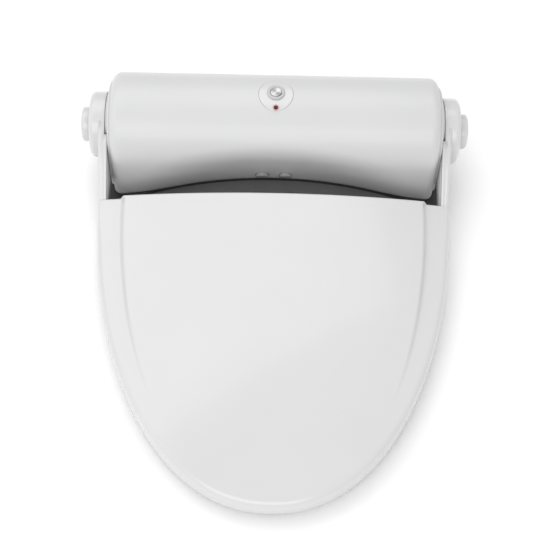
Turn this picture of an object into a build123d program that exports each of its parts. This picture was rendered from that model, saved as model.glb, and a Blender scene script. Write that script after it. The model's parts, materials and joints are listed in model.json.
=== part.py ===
from build123d import *
import math
import os

# Electric bidet seat: a rear housing shaped like a thick rounded bar, a heated seat ring and a lid,
# both turning about one axis that runs through the housing's ends.
# Millimetres.  +Z up, -Y towards the user, +Y towards the wall.
# Origin: middle of the footprint, on the plane that the bowl's rim touches.

# ------------------------------------------------------------------ driving dimensions
LENGTH = 485.0            # lid tip to the wall side of the housing
HOUSING_R = 57.0          # radius of the housing's round top, half its depth
HINGE_Z = 62.0            # height of the hinge axis
HINGE_Y = LENGTH / 2 - HOUSING_R
FRONT_Y = -LENGTH / 2

WALL = 3.0                # moulded wall of the housing, lid and seat
BODY_X = 176.0            # half-width of the moulded housing
END_PLATE = 2.4           # thickness of the end covers' plates
END_X = BODY_X + END_PLATE
RIM_R = 10.0              # rounding of the housing's end rims
TRAY_Z = 6.0              # underside of the base tray
TRAY_FLOOR = TRAY_Z + WALL
PARTING_Z = 12.0          # joint between base tray and cover

END_OPENING_R = 44.0      # opening in each end, closed by the end covers
PLATE_R = 50.0            # radius of the end covers' plates
BOSS_OFF = 51.0           # screw bosses, in front of and behind the hinge axis
BOSS_R = 5.0
COVER_SCREWS = [(-158, HINGE_Y - BOSS_OFF), (158, HINGE_Y - BOSS_OFF), (-160, HINGE_Y + BOSS_OFF),
                (-60, HINGE_Y + BOSS_OFF), (75, HINGE_Y + BOSS_OFF), (115, HINGE_Y + BOSS_OFF)]

SCOOP_AHEAD = 400.0       # centre of the spherical scoop, in front of the housing's flat front
SCOOP_Z = -96.0
SCOOP_R = 439.7

LID_REAR_Y = HINGE_Y - 89.3
LID_HALF = 187.0          # half-width of the lid at its rear edge
LID_BOTTOM = 12.0         # lower edge of the lid's skirt
LID_CROWN = 64.0          # height of the crown at the rear edge
LID_SLOPE = 2.4           # fall of the crown at the rear edge, degrees
LID_LONG_R = 3000.0       # crown's curve from back to front
LID_CROSS_R = 1300.0      # crown's curve from side to side
LID_EDGE_R = 8.0          # rounding of the lid's upper edge
LID_REAR_WALL_Z = 34.0    # lower edge of the lid's rear wall
LID_BUMPERS = [(x, y) for x in (-140, 140) for y in (40, -100)]

ARM_IN = 182.0            # lid arm, inner face
ARM_OUT = 189.4
DRUM_R = 36.0
DRUM_OUT = 200.0
CAP_R = 19.0
CAP_OUT = 210.0

SEAT_ARM_IN = 178.8       # pressed arm of the seat, between housing and lid arm
SEAT_ARM_OUT = 181.6
SEAT_HUB_R = 35.0
SEAT_REAR_Y = LID_REAR_Y - 2.5
SEAT_BOTTOM = 5.0
SEAT_SPLIT = 8.0
SEAT_TOP = 24.0
HOLE_HALF = 108.0         # seat opening
HOLE_FRONT_Y = -180.0
HOLE_REAR_Y = 66.0
SEAT_SCREWS = [(x, y) for x in (-143, 143) for y in (60, -60)] + [(-88, -186), (88, -186)]
SEAT_BUMPERS = [(x, y) for x in (-132, 132) for y in (30, -110)]
ARM_SCREWS_Y = (62, 84)   # screws from the seat's arms into the ring
ARM_SCREWS_Z = 14.0
ARM_SCREW_R = 2.0

PIN_R = 6.0
RUNNING = 0.05            # radial clearance of a turning or sliding fit
CLEAR = 0.3               # gap between parts that move past each other

NOZZLE_ANGLE = 28.0       # slope of the wands
NOZZLE_X = 13.0           # wands sit this far either side of the middle
NOZZLE_Z = 21.0           # height of the wand axis where it leaves the housing
WAND_R = 5.0
WAND_BACK = 88.0          # length of wand behind the port
SHIELD_R = 7.0            # round shield on the wand's tip
PORT_R = SHIELD_R + 0.4
GEAR_MODULE = 0.8
PINION_TEETH = 15
PINION_R = GEAR_MODULE * PINION_TEETH / 2
PITCH = math.pi * GEAR_MODULE
TOOTH = 0.40 * PITCH      # tooth thickness on the pitch line, thin enough to leave backlash
FLANK = math.tan(math.radians(20))
RACK_PITCH_V = WAND_R + GEAR_MODULE * 1.25
PINION_V = RACK_PITCH_V + PINION_R
PINION_BACK = 27.0        # pinion's distance behind the port
SHAFT_END = 31.0          # end of the motor's shaft, from the middle plane

TOP_Z = HINGE_Z + HOUSING_R
BUTTON_R = 6.2
STEM_R = 2.5              # button's stem, down to its switch
INSERT_DEEP = 1.6         # recess of the button insert in the cover
LENS_ANGLE = 18.3         # indicator window, degrees forward of the top
LENS_R = 2.4
BOARD = 1.6               # thickness of both circuit boards
BOARD_Z = 103.0           # underside of the control board
BOARD_POSTS = [(x, HINGE_Y + y) for x in (-30, 30) for y in (-16, 16)]
POWER_Z = 15.0            # underside of the power board
POWER_POSTS = [(-158, 160), (-158, 214), (-82, 160), (-82, 214)]
CORD_AT = (-140.0, 26.0)  # x and z of the mains cord's gland
CORD_HOLE_R = 7.0

BOLT_SPACING = 140.0      # bowl's fixing holes
BOLT_HOLE_R = 4.25
BOLT_Y = HINGE_Y - 20.0
MOUNT_Y = (BOLT_Y - 53.5, BOLT_Y + 26)   # mounting plate, out to the gap before the lid
MOUNT_HALF = 138.0
NOTCH_HALF = 22.0         # cut in the plate's front edge that lets the wands down
NOTCH_AHEAD = 12.0        # cut starts this far ahead of the nozzle ports
WING_X = (150.0, 186.0)   # flanges of the tray under the front corners, beneath the seat's arms
WING_Y = (112.0, 156.0)
LATCH_Y = 174.0
LATCH_TIP = 112.0
LATCH_TALL = 4.6
LATCH_HALF = 8.0

INLET_AT = (148.0, 212.0)
INLET_R = 10.45           # outside of a G1/2 thread
INLET_TOP = 17.5          # end of the thread, where the neck through the tray begins
INLET_NECK_R = 9.0
TANK = (70, 122, 152, 204, 12, 44)
TANK_PIPE_Z = 26.0
HOSE_R = 3.4
SPOUT_R = 4.0             # hose spouts of the tank, valve and diverter
SPOUT_BORE = 2.5

M3_R = 1.5
SCREW_R = 1.75
SCREW_HEAD_R = 3.4
SCREW_HEAD = 2.0


# ------------------------------------------------------------------ shared helpers
def box(x0, x1, y0, y1, z0, z1):
    """Plain block between two corners."""
    return Pos((x0 + x1) / 2, (y0 + y1) / 2, (z0 + z1) / 2) * Box(x1 - x0, y1 - y0, z1 - z0)


def rod(x, y, z0, z1, radius):
    """Upright cylinder."""
    return Pos(x, y, (z0 + z1) / 2) * Cylinder(radius, z1 - z0)


def rod_x(x0, x1, y, z, radius):
    """Cylinder along X."""
    return Pos((x0 + x1) / 2, y, z) * Rot(0, 90, 0) * Cylinder(radius, abs(x1 - x0))


def hinge_plane(x):
    """Plane across the hinge axis: its own x runs towards the wall and its own y runs up."""
    return Plane(origin=(x, HINGE_Y, HINGE_Z), x_dir=(0, 1, 0), z_dir=(1, 0, 0))


def mirrored(shape):
    """The same piece on the other side of the middle plane."""
    return shape.mirror(Plane.YZ)


def both_sides(shape):
    return Compound([shape, mirrored(shape)])


def group(shapes):
    return Compound(list(shapes))


def screw(x, y, z, length):
    """Pan-head screw driven upwards, its head's lower face at z."""
    return rod(x, y, z, z + SCREW_HEAD, SCREW_HEAD_R) + rod(x, y, z, z + length, SCREW_R)


def hose(points, radius, bend):
    """Flexible hose with round bends along a route of straight runs."""
    path = FilletPolyline(*points, radius=bend)
    start = Plane(origin=path @ 0, z_dir=path % 0)
    return sweep(start * Circle(radius), path=path)


# ------------------------------------------------------------------ housing
def housing_section(x, radius, bottom):
    """U-shaped section: a half circle about the hinge axis with straight legs down to bottom."""
    dome = Circle(radius) - Pos(0, -radius) * Rectangle(4 * radius, 2 * radius)
    legs = Pos(0, (bottom - HINGE_Z) / 2) * Rectangle(2 * radius, HINGE_Z - bottom)
    return hinge_plane(x) * (dome + legs)


def scoop(extra):
    """Spherical hollow in the housing's front; extra moves its wall into the housing."""
    return Pos(0, HINGE_Y - HOUSING_R - SCOOP_AHEAD, SCOOP_Z) * Sphere(SCOOP_R + extra)


def housing_block(inset, bottom):
    """Solid bar with rounded end rims and the scoop, its faces moved in by inset."""
    end = BODY_X - inset
    body = extrude(housing_section(-end, HOUSING_R - inset, bottom), amount=2 * end)
    rims = [e for e in body.edges() if abs(abs(e.center().X) - end) < 0.01 and e.center().Z > bottom + 1]
    return fillet(rims, RIM_R - inset) - scoop(inset)


def button_insert(grow, low, high):
    """Oval patch of the round top between two radii, grown sideways by grow."""
    outline = Pos(0, HINGE_Y - 1.4, TOP_Z - 15) * extrude(Ellipse(18.3 + grow, 20.0 + grow), amount=30)
    shell = Pos(0, HINGE_Y, HINGE_Z) * Rot(0, 90, 0) * (Cylinder(high, 60) - Cylinder(low, 60))
    return outline & shell


def radial_rod(angle, r0, r1, radius):
    """Cylinder along a radius of the round top, leaning forward by angle."""
    lean = Pos(0, HINGE_Y, HINGE_Z) * Rot(angle, 0, 0)
    return lean * Pos(0, 0, (r0 + r1) / 2) * Cylinder(radius, r1 - r0)


def cord_place():
    """Frame of the mains cord's gland on the wall side: its z runs into the housing."""
    x, z = CORD_AT
    return Pos(x, HINGE_Y + HOUSING_R, z) * Rot(90, 0, 0)


def nozzle_plane(x):
    """Frame of a wand: its x runs forward along the wand, its y runs up from it."""
    slope = math.radians(NOZZLE_ANGLE)
    reach = math.sqrt(SCOOP_R ** 2 - NOZZLE_X ** 2 - (NOZZLE_Z - SCOOP_Z) ** 2)
    port_y = HINGE_Y - HOUSING_R - SCOOP_AHEAD + reach
    forward = (0, -math.cos(slope), -math.sin(slope))
    return Plane(origin=(x, port_y, NOZZLE_Z), x_dir=forward, z_dir=(-1, 0, 0))


def along_wand(x, u0, u1, radius):
    """Cylinder along a wand's axis between two distances ahead of the port."""
    return nozzle_plane(x) * Pos((u0 + u1) / 2, 0, 0) * Rot(0, 90, 0) * Cylinder(radius, u1 - u0)


def across_wand(x, u, v, half, radius):
    """Cylinder along X, centred at the wand's side position x."""
    return nozzle_plane(x) * Pos(u, v, 0) * Cylinder(radius, 2 * half)


def nozzle_ports():
    return [along_wand(s * NOZZLE_X, -12, 12, PORT_R) for s in (-1, 1)]


def housing_shell():
    return housing_block(0, TRAY_Z) - housing_block(WALL, TRAY_FLOOR)


def make_cover(shell):
    cover = split(shell, bisect_by=Plane.XY.offset(PARTING_Z), keep=Keep.TOP)
    opening = extrude(housing_section(-BODY_X - 1, END_OPENING_R, 20), amount=2 * BODY_X + 2)
    cover -= opening & (box(-200, -BODY_X + WALL, 0, 300, 0, 200) + box(BODY_X - WALL, 200, 0, 300, 0, 200))
    for x, y in COVER_SCREWS:
        cover += rod(x, y, PARTING_Z, 44, BOSS_R) - rod(x, y, PARTING_Z, 34, SCREW_R + 0.01)
    cover -= button_insert(0.15, HOUSING_R - INSERT_DEEP, HOUSING_R + 2)
    cover -= rod(0, HINGE_Y, TOP_Z - 12, TOP_Z + 2, 10.6)
    cover -= radial_rod(LENS_ANGLE, HOUSING_R - 8, HOUSING_R + 3, LENS_R + 0.05)
    for port in nozzle_ports():
        cover -= port
    cover -= cord_place() * Cylinder(CORD_HOLE_R, 12)
    for x, y in BOARD_POSTS:
        cover += rod(x, y, BOARD_Z + BOARD, TOP_Z - 4.5, 3.0)
    return cover


def make_tray(shell):
    tray = split(shell, bisect_by=Plane.XY.offset(PARTING_Z), keep=Keep.BOTTOM)
    wing = box(*WING_X, *WING_Y, TRAY_Z, TRAY_FLOOR)
    wing = fillet(wing.edges().filter_by(Axis.Z), 5)
    tray += wing + mirror(wing, about=Plane.YZ)
    for x, y in COVER_SCREWS:
        tray += rod(x, y, TRAY_FLOOR, PARTING_Z, BOSS_R)
        tray -= rod(x, y, TRAY_Z, PARTING_Z, SCREW_R + 0.1)
        tray -= rod(x, y, TRAY_Z, TRAY_Z + 0.5 + SCREW_HEAD, SCREW_HEAD_R + 0.2)
    x, y = INLET_AT
    tray += rod(x, y, TRAY_Z, 22, 19.5)
    tray -= rod(x, y, TRAY_Z, 19, 17)
    tray -= rod(x, y, 18, 23, INLET_NECK_R + 0.02)
    for px, py in POWER_POSTS:
        tray += rod(px, py, TRAY_FLOOR, POWER_Z, 3.5) - rod(px, py, TRAY_FLOOR, POWER_Z, M3_R + 0.01)
    low = LATCH_Y - LATCH_HALF - CLEAR
    high = LATCH_Y + LATCH_HALF + CLEAR
    tray += box(LATCH_TIP - 11, BODY_X - 2, low - 2.5, high + 2.5, TRAY_Z, TRAY_Z + LATCH_TALL + 1.2)
    tray -= box(LATCH_TIP - 8, BODY_X + 1, low, high, TRAY_Z - 1, TRAY_Z + LATCH_TALL)
    return tray


def make_end_cover():
    """End cover of the right side: plate, spigot inside the housing's opening, and the hinge boss."""
    plate = extrude(housing_section(BODY_X, PLATE_R, PARTING_Z + 3), amount=END_PLATE)
    rim = [e for e in plate.edges() if abs(e.center().X - END_X) < 0.01]
    plate = fillet(rim, 1.2)
    spigot = extrude(housing_section(BODY_X - 8, END_OPENING_R - 0.1, 20.1), amount=8)
    spigot -= extrude(housing_section(BODY_X - 9, END_OPENING_R - 2.6, 22.6), amount=9)
    boss = rod_x(BODY_X - 12, BODY_X, HINGE_Y, HINGE_Z, 14)
    return plate + spigot + boss - rod_x(100, 200, HINGE_Y, HINGE_Z, PIN_R + 0.01)


def make_hinge_pin():
    return rod_x(128, 192, HINGE_Y, HINGE_Z, PIN_R)


def make_damper():
    """Soft-close damper: a barrel on the hinge pin with a flange that is keyed to the end cover."""
    barrel = rod_x(116, 160, HINGE_Y, HINGE_Z, 12.5) + rod_x(160, BODY_X - 12, HINGE_Y, HINGE_Z, 14)
    return barrel - rod_x(128, 200, HINGE_Y, HINGE_Z, PIN_R + 0.01)


# ------------------------------------------------------------------ button, boards, indicator
def make_button_ring():
    """Bezel with the sleeve that guides the push button and holds its spring."""
    bezel = rod(0, HINGE_Y, TOP_Z - 0.4, TOP_Z + 1.8, 9.8)
    bezel = fillet(bezel.edges().group_by(Axis.Z)[-1], 1.2)
    bezel += rod(0, HINGE_Y, TOP_Z - 7.5, TOP_Z - 0.4, 9.0)
    bezel -= rod(0, HINGE_Y, TOP_Z - 6.5, TOP_Z + 3, BUTTON_R + RUNNING)
    return bezel - rod(0, HINGE_Y, TOP_Z - 9, TOP_Z, STEM_R + CLEAR)


def make_push_button():
    cap = rod(0, HINGE_Y, TOP_Z - 1.5, TOP_Z + 2.0, BUTTON_R)
    cap = fillet(cap.edges().group_by(Axis.Z)[-1], 0.7)
    return cap + rod(0, HINGE_Y, BOARD_Z + 7.2, TOP_Z - 1.5, STEM_R)


def make_button_spring():
    wire = 0.5
    low = TOP_Z - 6.5
    coil = Pos(0, HINGE_Y, low + wire) * Helix(pitch=1.3, height=3.9, radius=4.0)
    start = Plane(origin=coil @ 0, z_dir=coil % 0)
    return sweep(start * Circle(wire / 2), path=coil, is_frenet=True)


def make_button_plate():
    """Curved insert around the button, with the bezel's hole and the window's hole."""
    plate = button_insert(0, HOUSING_R - INSERT_DEEP, HOUSING_R + 0.3)
    plate -= rod(0, HINGE_Y, TOP_Z - 12, TOP_Z + 2, 9.9)
    return plate - radial_rod(LENS_ANGLE, HOUSING_R - 8, HOUSING_R + 3, LENS_R + 0.05)


def make_control_board():
    board = box(-36, 36, HINGE_Y - 22, HINGE_Y + 22, BOARD_Z, BOARD_Z + BOARD)
    for x, y in BOARD_POSTS:
        board -= rod(x, y, BOARD_Z - 1, BOARD_Z + 2, M3_R + 0.01)
    return board


def make_board_chips():
    low = BOARD_Z - 2.5
    chips = [box(-22, -10, HINGE_Y - 6, HINGE_Y + 6, low, BOARD_Z)]
    chips += [box(4 + 9 * i, 9 + 9 * i, HINGE_Y - 4, HINGE_Y + 4, low, BOARD_Z) for i in range(3)]
    return group(chips)


def make_button_switch():
    body = box(-3, 3, HINGE_Y - 3, HINGE_Y + 3, BOARD_Z + BOARD, BOARD_Z + 4.8)
    return body + rod(0, HINGE_Y, BOARD_Z + 4.8, BOARD_Z + 5.8, 1.6)


def make_indicator_led():
    y = HINGE_Y - 16
    body = box(-2, 2, y - 2, y + 2, BOARD_Z + BOARD, BOARD_Z + 3.6)
    return body + rod(0, y, BOARD_Z + 3.6, BOARD_Z + 5.2, 1.5)


def make_board_screws():
    screws = []
    for x, y in BOARD_POSTS:
        low = BOARD_Z - 1.8
        screws.append(rod(x, y, low, BOARD_Z, 2.8) + rod(x, y, low, BOARD_Z + BOARD, M3_R))
    for x, y in POWER_POSTS:
        top = POWER_Z + BOARD
        screws.append(rod(x, y, top, top + 1.8, 2.8) + rod(x, y, POWER_Z - 5, top, M3_R))
    return group(screws)


def make_power_board():
    board = box(-164, -76, 154, 220, POWER_Z, POWER_Z + BOARD)
    for x, y in POWER_POSTS:
        board -= rod(x, y, POWER_Z - 1, POWER_Z + 2, M3_R + 0.01)
    return board


def make_transformer():
    low = POWER_Z + BOARD
    core = box(-150, -116, 168, 206, low + 6, low + 22)
    return core + box(-145, -121, 174, 200, low, low + 28)


def make_capacitors():
    low = POWER_Z + BOARD
    return group([rod(-104, 172 + 20 * i, low, low + 24, 8) for i in range(2)])


def make_relays():
    low = POWER_Z + BOARD
    return group([box(-92, -80, 172 + 16 * i, 184 + 16 * i, low, low + 15) for i in range(2)])


def make_cord_grommet():
    """Rubber gland for the mains cord, flush with the back of the housing."""
    lay = cord_place()
    sleeve = lay * Pos(0, 0, WALL / 2) * Cylinder(CORD_HOLE_R, WALL)
    flange = lay * Pos(0, 0, WALL + 1) * Cylinder(9.5, 2)
    return sleeve + flange - lay * Cylinder(3.6, 20)


# ------------------------------------------------------------------ water path
def make_water_inlet():
    """Threaded nipple with a neck through the tray and a flange on top of it."""
    x, y = INLET_AT
    nipple = rod(x, y, 1, INLET_TOP, INLET_R) + rod(x, y, INLET_TOP, 24, INLET_NECK_R)
    nipple += rod(x, y, 22, 25, 14)
    return nipple - rod(x, y, 0, 26, 6.6)


def make_inlet_strainer():
    x, y = INLET_AT
    return rod(x, y, 2, 15, 6.5) - rod(x, y, 3, 15, 5.7)


def make_valve_body():
    x, y = INLET_AT
    body = rod(x, y, 25, 31, 12) + box(x - 16, x + 14, y - 12, y + 14, 30, 44)
    spout = rod_x(x - 22, x - 16, y + 8, 36, SPOUT_R)
    return body + spout - rod_x(x - 24, x - 8, y + 8, 36, SPOUT_BORE)


def make_valve_coil():
    x, y = INLET_AT
    return rod(x - 2, y + 4, 44, 70, 9) + box(x - 11, x + 7, y - 5, y + 13, 48, 66)


def make_heater_tank():
    x0, x1, y0, y1, z0, z1 = TANK
    outer = box(x0, x1, y0, y1, z0, z1)
    outer = fillet(outer.edges().filter_by(Axis.Z), 6)
    cavity = fillet(box(x0 + 3, x1 - 3, y0 + 3, y1 - 3, z0 + 3, z1).edges().filter_by(Axis.Z), 3)
    tank = outer - cavity
    for x in (80, 104):
        tank += Pos(x, y1 + 3, TANK_PIPE_Z) * Rot(90, 0, 0) * Cylinder(SPOUT_R, 6)
        tank -= Pos(x, y1, TANK_PIPE_Z) * Rot(90, 0, 0) * Cylinder(SPOUT_BORE, 20)
    feet = [rod(x, y, TRAY_FLOOR, z0, 4) for x in (x0 + 8, x1 - 8) for y in (y0 + 5, y1 - 8)]
    return tank + feet


def make_tank_lid():
    x0, x1, y0, y1, z0, z1 = TANK
    lid = fillet(box(x0, x1, y0, y1, z1, z1 + 3).edges().filter_by(Axis.Z), 6)
    for x in (86, 106):
        lid -= rod(x, (y0 + y1) / 2, z1 - 1, z1 + 4, 2.61)
    return lid


def make_heating_element():
    """Hairpin element hanging from the tank's lid."""
    mid = (TANK[2] + TANK[3]) / 2
    top = TANK[5] + 8
    points = [(86, mid, top), (86, mid, 20), (106, mid, 20), (106, mid, top)]
    return hose(points, 2.6, 9.5)


def make_diverter():
    body = box(42, 60, 196, 224, 12, 34)
    body += rod_x(60, 64, 214, TANK_PIPE_Z, SPOUT_R) + box(45, 57, 200, 220, TRAY_FLOOR, 12)
    return body - rod_x(50, 66, 214, TANK_PIPE_Z, SPOUT_BORE)


def make_diverter_motor():
    return rod(51, 207, 34, 48, 9.5) + box(39, 63, 204, 210, 34, 36)


def make_inlet_hose():
    x, y = INLET_AT
    points = [(x - 22, y + 8, 36), (104, y + 8, 36), (104, y + 8, TANK_PIPE_Z),
              (104, TANK[3] + 6, TANK_PIPE_Z)]
    return hose(points, HOSE_R, 4.9)


def make_heater_hose():
    points = [(80, TANK[3] + 6, TANK_PIPE_Z), (80, 214, TANK_PIPE_Z), (64, 214, TANK_PIPE_Z)]
    return hose(points, HOSE_R, 3.9)


# ------------------------------------------------------------------ nozzles
def tooth(addendum, dedendum, thickness):
    """Straight-sided tooth pointing along its own +y, pitch line at y = 0."""
    tip = thickness / 2 - addendum * FLANK
    root = thickness / 2 + dedendum * FLANK
    return make_face(Polyline((-root, -dedendum), (-tip, addendum), (tip, addendum), (root, -dedendum),
                              close=True))


def make_wand(side, spray_holes):
    x = side * NOZZLE_X
    frame = nozzle_plane(x)
    wand = along_wand(x, -WAND_BACK, -2, WAND_R)
    wand += frame * Pos(-WAND_BACK / 2 - 12, 4.0, 0) * Box(WAND_BACK - 24, 2.0, 4.0)
    rack = []
    count = round((WAND_BACK - PINION_BACK - 2) / PITCH)
    for k in range(-1, count):
        place = Pos(-PINION_BACK - k * PITCH, RACK_PITCH_V)
        face = tooth(GEAR_MODULE, 1.3 * GEAR_MODULE, TOOTH)
        rack.append(extrude(frame * place * face, amount=2, both=True))
    wand += rack
    wand -= along_wand(x, -WAND_BACK - 1, -8, 2.0)
    for k in range(spray_holes):
        wand -= frame * Pos(-5 - 2.2 * k, 3, 0) * Rot(90, 0, 0) * Cylinder(0.6, 6)
    return wand


def make_shield(side):
    """Round shield that closes the port when the wand is home."""
    x = side * NOZZLE_X
    disc = along_wand(x, -2, 2.5, SHIELD_R)
    return fillet(disc.edges().sort_by(Axis.Y)[0], 1.0)


def make_pinion(side):
    frame = nozzle_plane(side * NOZZLE_X) * Pos(-PINION_BACK, PINION_V, 0)
    root_r = PINION_R - 1.25 * GEAR_MODULE
    gear = Circle(root_r)
    for k in range(PINION_TEETH):
        turn = Rot(0, 0, 180 + (k + 0.5) * 360 / PINION_TEETH)
        gear += turn * Pos(0, PINION_R) * tooth(0.9 * GEAR_MODULE, 1.4 * GEAR_MODULE, TOOTH)
    body = extrude(frame * gear, amount=1.8, both=True)
    middle = (NOZZLE_X + SHAFT_END) / 2
    return body + across_wand(side * middle, -PINION_BACK, PINION_V, SHAFT_END - middle, M3_R)


def make_nozzle_guide():
    """Sloping carriage for both wands: bearing block, floor, cheeks for the motors, and feet."""
    mid = nozzle_plane(0)

    def slab(u0, u1, v0, v1, half):
        return mid * Pos((u0 + u1) / 2, (v0 + v1) / 2, 0) * Box(u1 - u0, v1 - v0, 2 * half)

    guide = slab(-16, -8, -9, 8.5, 24) + slab(-84, -8, -9, -6, 24)
    guide += slab(-84, -78, -6, 5, 24)
    for side in (-1, 1):
        x = side * NOZZLE_X
        frame = nozzle_plane(x)
        guide -= along_wand(x, -90, 0, WAND_R + RUNNING)
        guide -= frame * Pos(-45, 5.4, 0) * Box(90, 4.4, 4.6)
        guide += mid * Pos(-PINION_BACK, 4, -side * 22) * Box(22, 26, 4)
        guide -= across_wand(side * 22, -PINION_BACK, PINION_V, 4, M3_R + RUNNING)
    for y in (mid.origin.Y + 20, mid.origin.Y + 58):
        post = box(-24, 24, y, y + 5, TRAY_FLOOR, 60)
        below = mid * Pos(-45, -7.5 - 40, 0) * Box(120, 80, 60)
        guide += post & below
    return guide


def make_nozzle_motor(side):
    motor = across_wand(side * 32, -PINION_BACK, PINION_V, 8, 11)
    return motor - across_wand(side * 28, -PINION_BACK, PINION_V, 4.5, M3_R + RUNNING)


def make_nozzle_hoses():
    """Flexible tubes from the diverter to the back of each wand."""
    tubes = []
    for side in (-1, 1):
        start = nozzle_plane(side * NOZZLE_X).from_local_coords((-WAND_BACK - 0.5, 0, 0))
        x, y, z = start.X, start.Y, start.Z
        end_x = 51 + 5 * side
        lift = 9 - 7 * side
        points = [(x, y, z), (x, y + 4, z + 2), (x + 7, y + 4, z + lift), (end_x, 222, z + lift - 5),
                  (end_x, 222, 34)]
        tubes.append(hose(points, 1.8, 1.0))
    return group(tubes)


# ------------------------------------------------------------------ seat
def half_outline(half, rear_y, tip_y, count):
    """Points of the plan outline from the middle of the tip round to the right rear corner."""
    points = []
    for i in range(count + 1):
        angle = math.pi / 2 * i / count
        along = math.cos(angle)
        y = rear_y - (rear_y - tip_y) * along
        x = half * (1 - along ** 1.96) ** (1 / 2.15)
        points.append((x, y))
    return points


def outline_face(half, rear_y, tip_y):
    """Plan of the seat and lid: nearly half an ellipse, closed by a straight rear edge."""
    right = half_outline(half, rear_y, tip_y, 4)
    left = [(-x, y) for x, y in reversed(right[1:])]
    curve = Spline(*(left + right), tangents=[(0, -1), (0, 1)])
    return make_face(curve + Line((half, rear_y), (-half, rear_y)))


def hole_face(grow):
    half_long = (HOLE_REAR_Y - HOLE_FRONT_Y) / 2
    return Pos(0, (HOLE_REAR_Y + HOLE_FRONT_Y) / 2) * Ellipse(HOLE_HALF + grow, half_long + grow)


def ring_solid(inset, z0, z1):
    """Seat ring between two heights, its sides moved in by inset."""
    face = outline_face(SEAT_ARM_OUT - inset, SEAT_REAR_Y - inset, FRONT_Y + 5 + inset) - hole_face(inset)
    return extrude(Pos(0, 0, z0) * face, amount=z1 - z0)


def seat_arm_pocket():
    return box(SEAT_ARM_IN - 0.1, SEAT_ARM_OUT + 1, 52, 120, SEAT_BOTTOM - 1, SEAT_TOP + 1)


def arm_screw_rods(x0, x1, radius):
    """Rods along the flush screws that join the seat's arms to the ring, on both sides."""
    rods = [rod_x(x0, x1, y, ARM_SCREWS_Z, radius) for y in ARM_SCREWS_Y]
    return rods + [mirrored(one) for one in rods]


def make_seat_top():
    ring = ring_solid(0, SEAT_SPLIT, SEAT_TOP)
    top_edges = [e for e in ring.edges() if abs(e.center().Z - SEAT_TOP) < 0.01]
    ring = fillet(top_edges, 6)
    ring -= ring_solid(WALL + 2, SEAT_SPLIT, SEAT_TOP - WALL)
    for x, y in SEAT_SCREWS:
        ring += rod(x, y, SEAT_SPLIT, SEAT_TOP - WALL, 4.5)
        ring -= rod(x, y, SEAT_SPLIT, SEAT_TOP - 5, SCREW_R + 0.01)
    ring -= arm_screw_rods(172, 190, ARM_SCREW_R + 0.01)
    return ring - seat_arm_pocket() - mirrored(seat_arm_pocket())


def make_seat_bottom():
    plate = ring_solid(0, SEAT_BOTTOM, SEAT_SPLIT)
    for x, y in SEAT_SCREWS:
        plate -= rod(x, y, SEAT_BOTTOM, SEAT_SPLIT, SCREW_R + 0.1)
        plate -= rod(x, y, SEAT_BOTTOM, SEAT_BOTTOM + SCREW_HEAD, SCREW_HEAD_R + 0.2)
    return plate - seat_arm_pocket() - mirrored(seat_arm_pocket())


def make_seat_foil():
    foil = ring_solid(14, SEAT_TOP - WALL - 0.6, SEAT_TOP - WALL - 0.1)
    for x, y in SEAT_SCREWS:
        foil -= rod(x, y, 0, 40, 5.5)
    return foil


def make_seat_screws():
    screws = [screw(x, y, SEAT_BOTTOM, 13) for x, y in SEAT_SCREWS]
    return group(screws + arm_screw_rods(SEAT_ARM_OUT - 7, SEAT_ARM_OUT, ARM_SCREW_R))


def make_seat_bumpers():
    pads = []
    for x, y in SEAT_BUMPERS:
        slot = SlotOverall(36, 16, rotation=90)
        pad = Pos(x, y, SEAT_BOTTOM / 2) * extrude(slot, amount=SEAT_BOTTOM / 2, both=True)
        pads.append(fillet(pad.edges().group_by(Axis.Z)[0], 1.5))
    return group(pads)


def make_seat_arm():
    """Pressed arm from the hinge pin down to the seat's rear corner."""
    hub = Circle(SEAT_HUB_R)
    bar = make_face(Polyline((-12, -12), (-12, 12), (-100, -38), (-132, -40), (-132, -56), (-92, -56),
                             close=True))
    arm = extrude(hinge_plane(SEAT_ARM_IN) * (hub + bar), amount=SEAT_ARM_OUT - SEAT_ARM_IN)
    arm -= rod_x(170, 190, HINGE_Y, HINGE_Z, PIN_R + RUNNING)
    return arm - arm_screw_rods(170, 190, ARM_SCREW_R + 0.02)


# ------------------------------------------------------------------ lid
def lid_roof(drop):
    """Everything under the crowned roof, which curves in both directions; drop lowers the roof."""
    slope = math.radians(LID_SLOPE)
    radius = LID_LONG_R - drop
    centre_y = LID_REAR_Y + LID_LONG_R * math.sin(slope)
    centre_z = LID_CROWN - LID_LONG_R * math.cos(slope)
    sag_at = 260.0
    sag = LID_CROSS_R - math.sqrt(LID_CROSS_R ** 2 - sag_at ** 2)
    plane = Plane(origin=(0, centre_y, centre_z), x_dir=(1, 0, 0), z_dir=(0, -1, 0))
    arc = ThreePointArc((-sag_at, radius - sag), (0, radius), (sag_at, radius - sag))
    floor = radius - 160
    sides = Polyline((sag_at, radius - sag), (sag_at, floor), (-sag_at, floor), (-sag_at, radius - sag))
    face = plane * make_face(arc + sides)
    return revolve(face, axis=Axis((0, centre_y, centre_z), (1, 0, 0)), revolution_arc=14)


def lid_body(inset, bottom):
    """Solid under the roof within the plan outline, its sides and roof moved in by inset."""
    face = outline_face(LID_HALF - inset, LID_REAR_Y - inset, FRONT_Y + inset)
    body = extrude(Pos(0, 0, bottom) * face, amount=70) & lid_roof(inset)
    roof_edges = [e for e in body.edges() if e.center().Z > bottom + 3 and e.length > 300]
    return fillet(roof_edges, LID_EDGE_R - inset)


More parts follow.
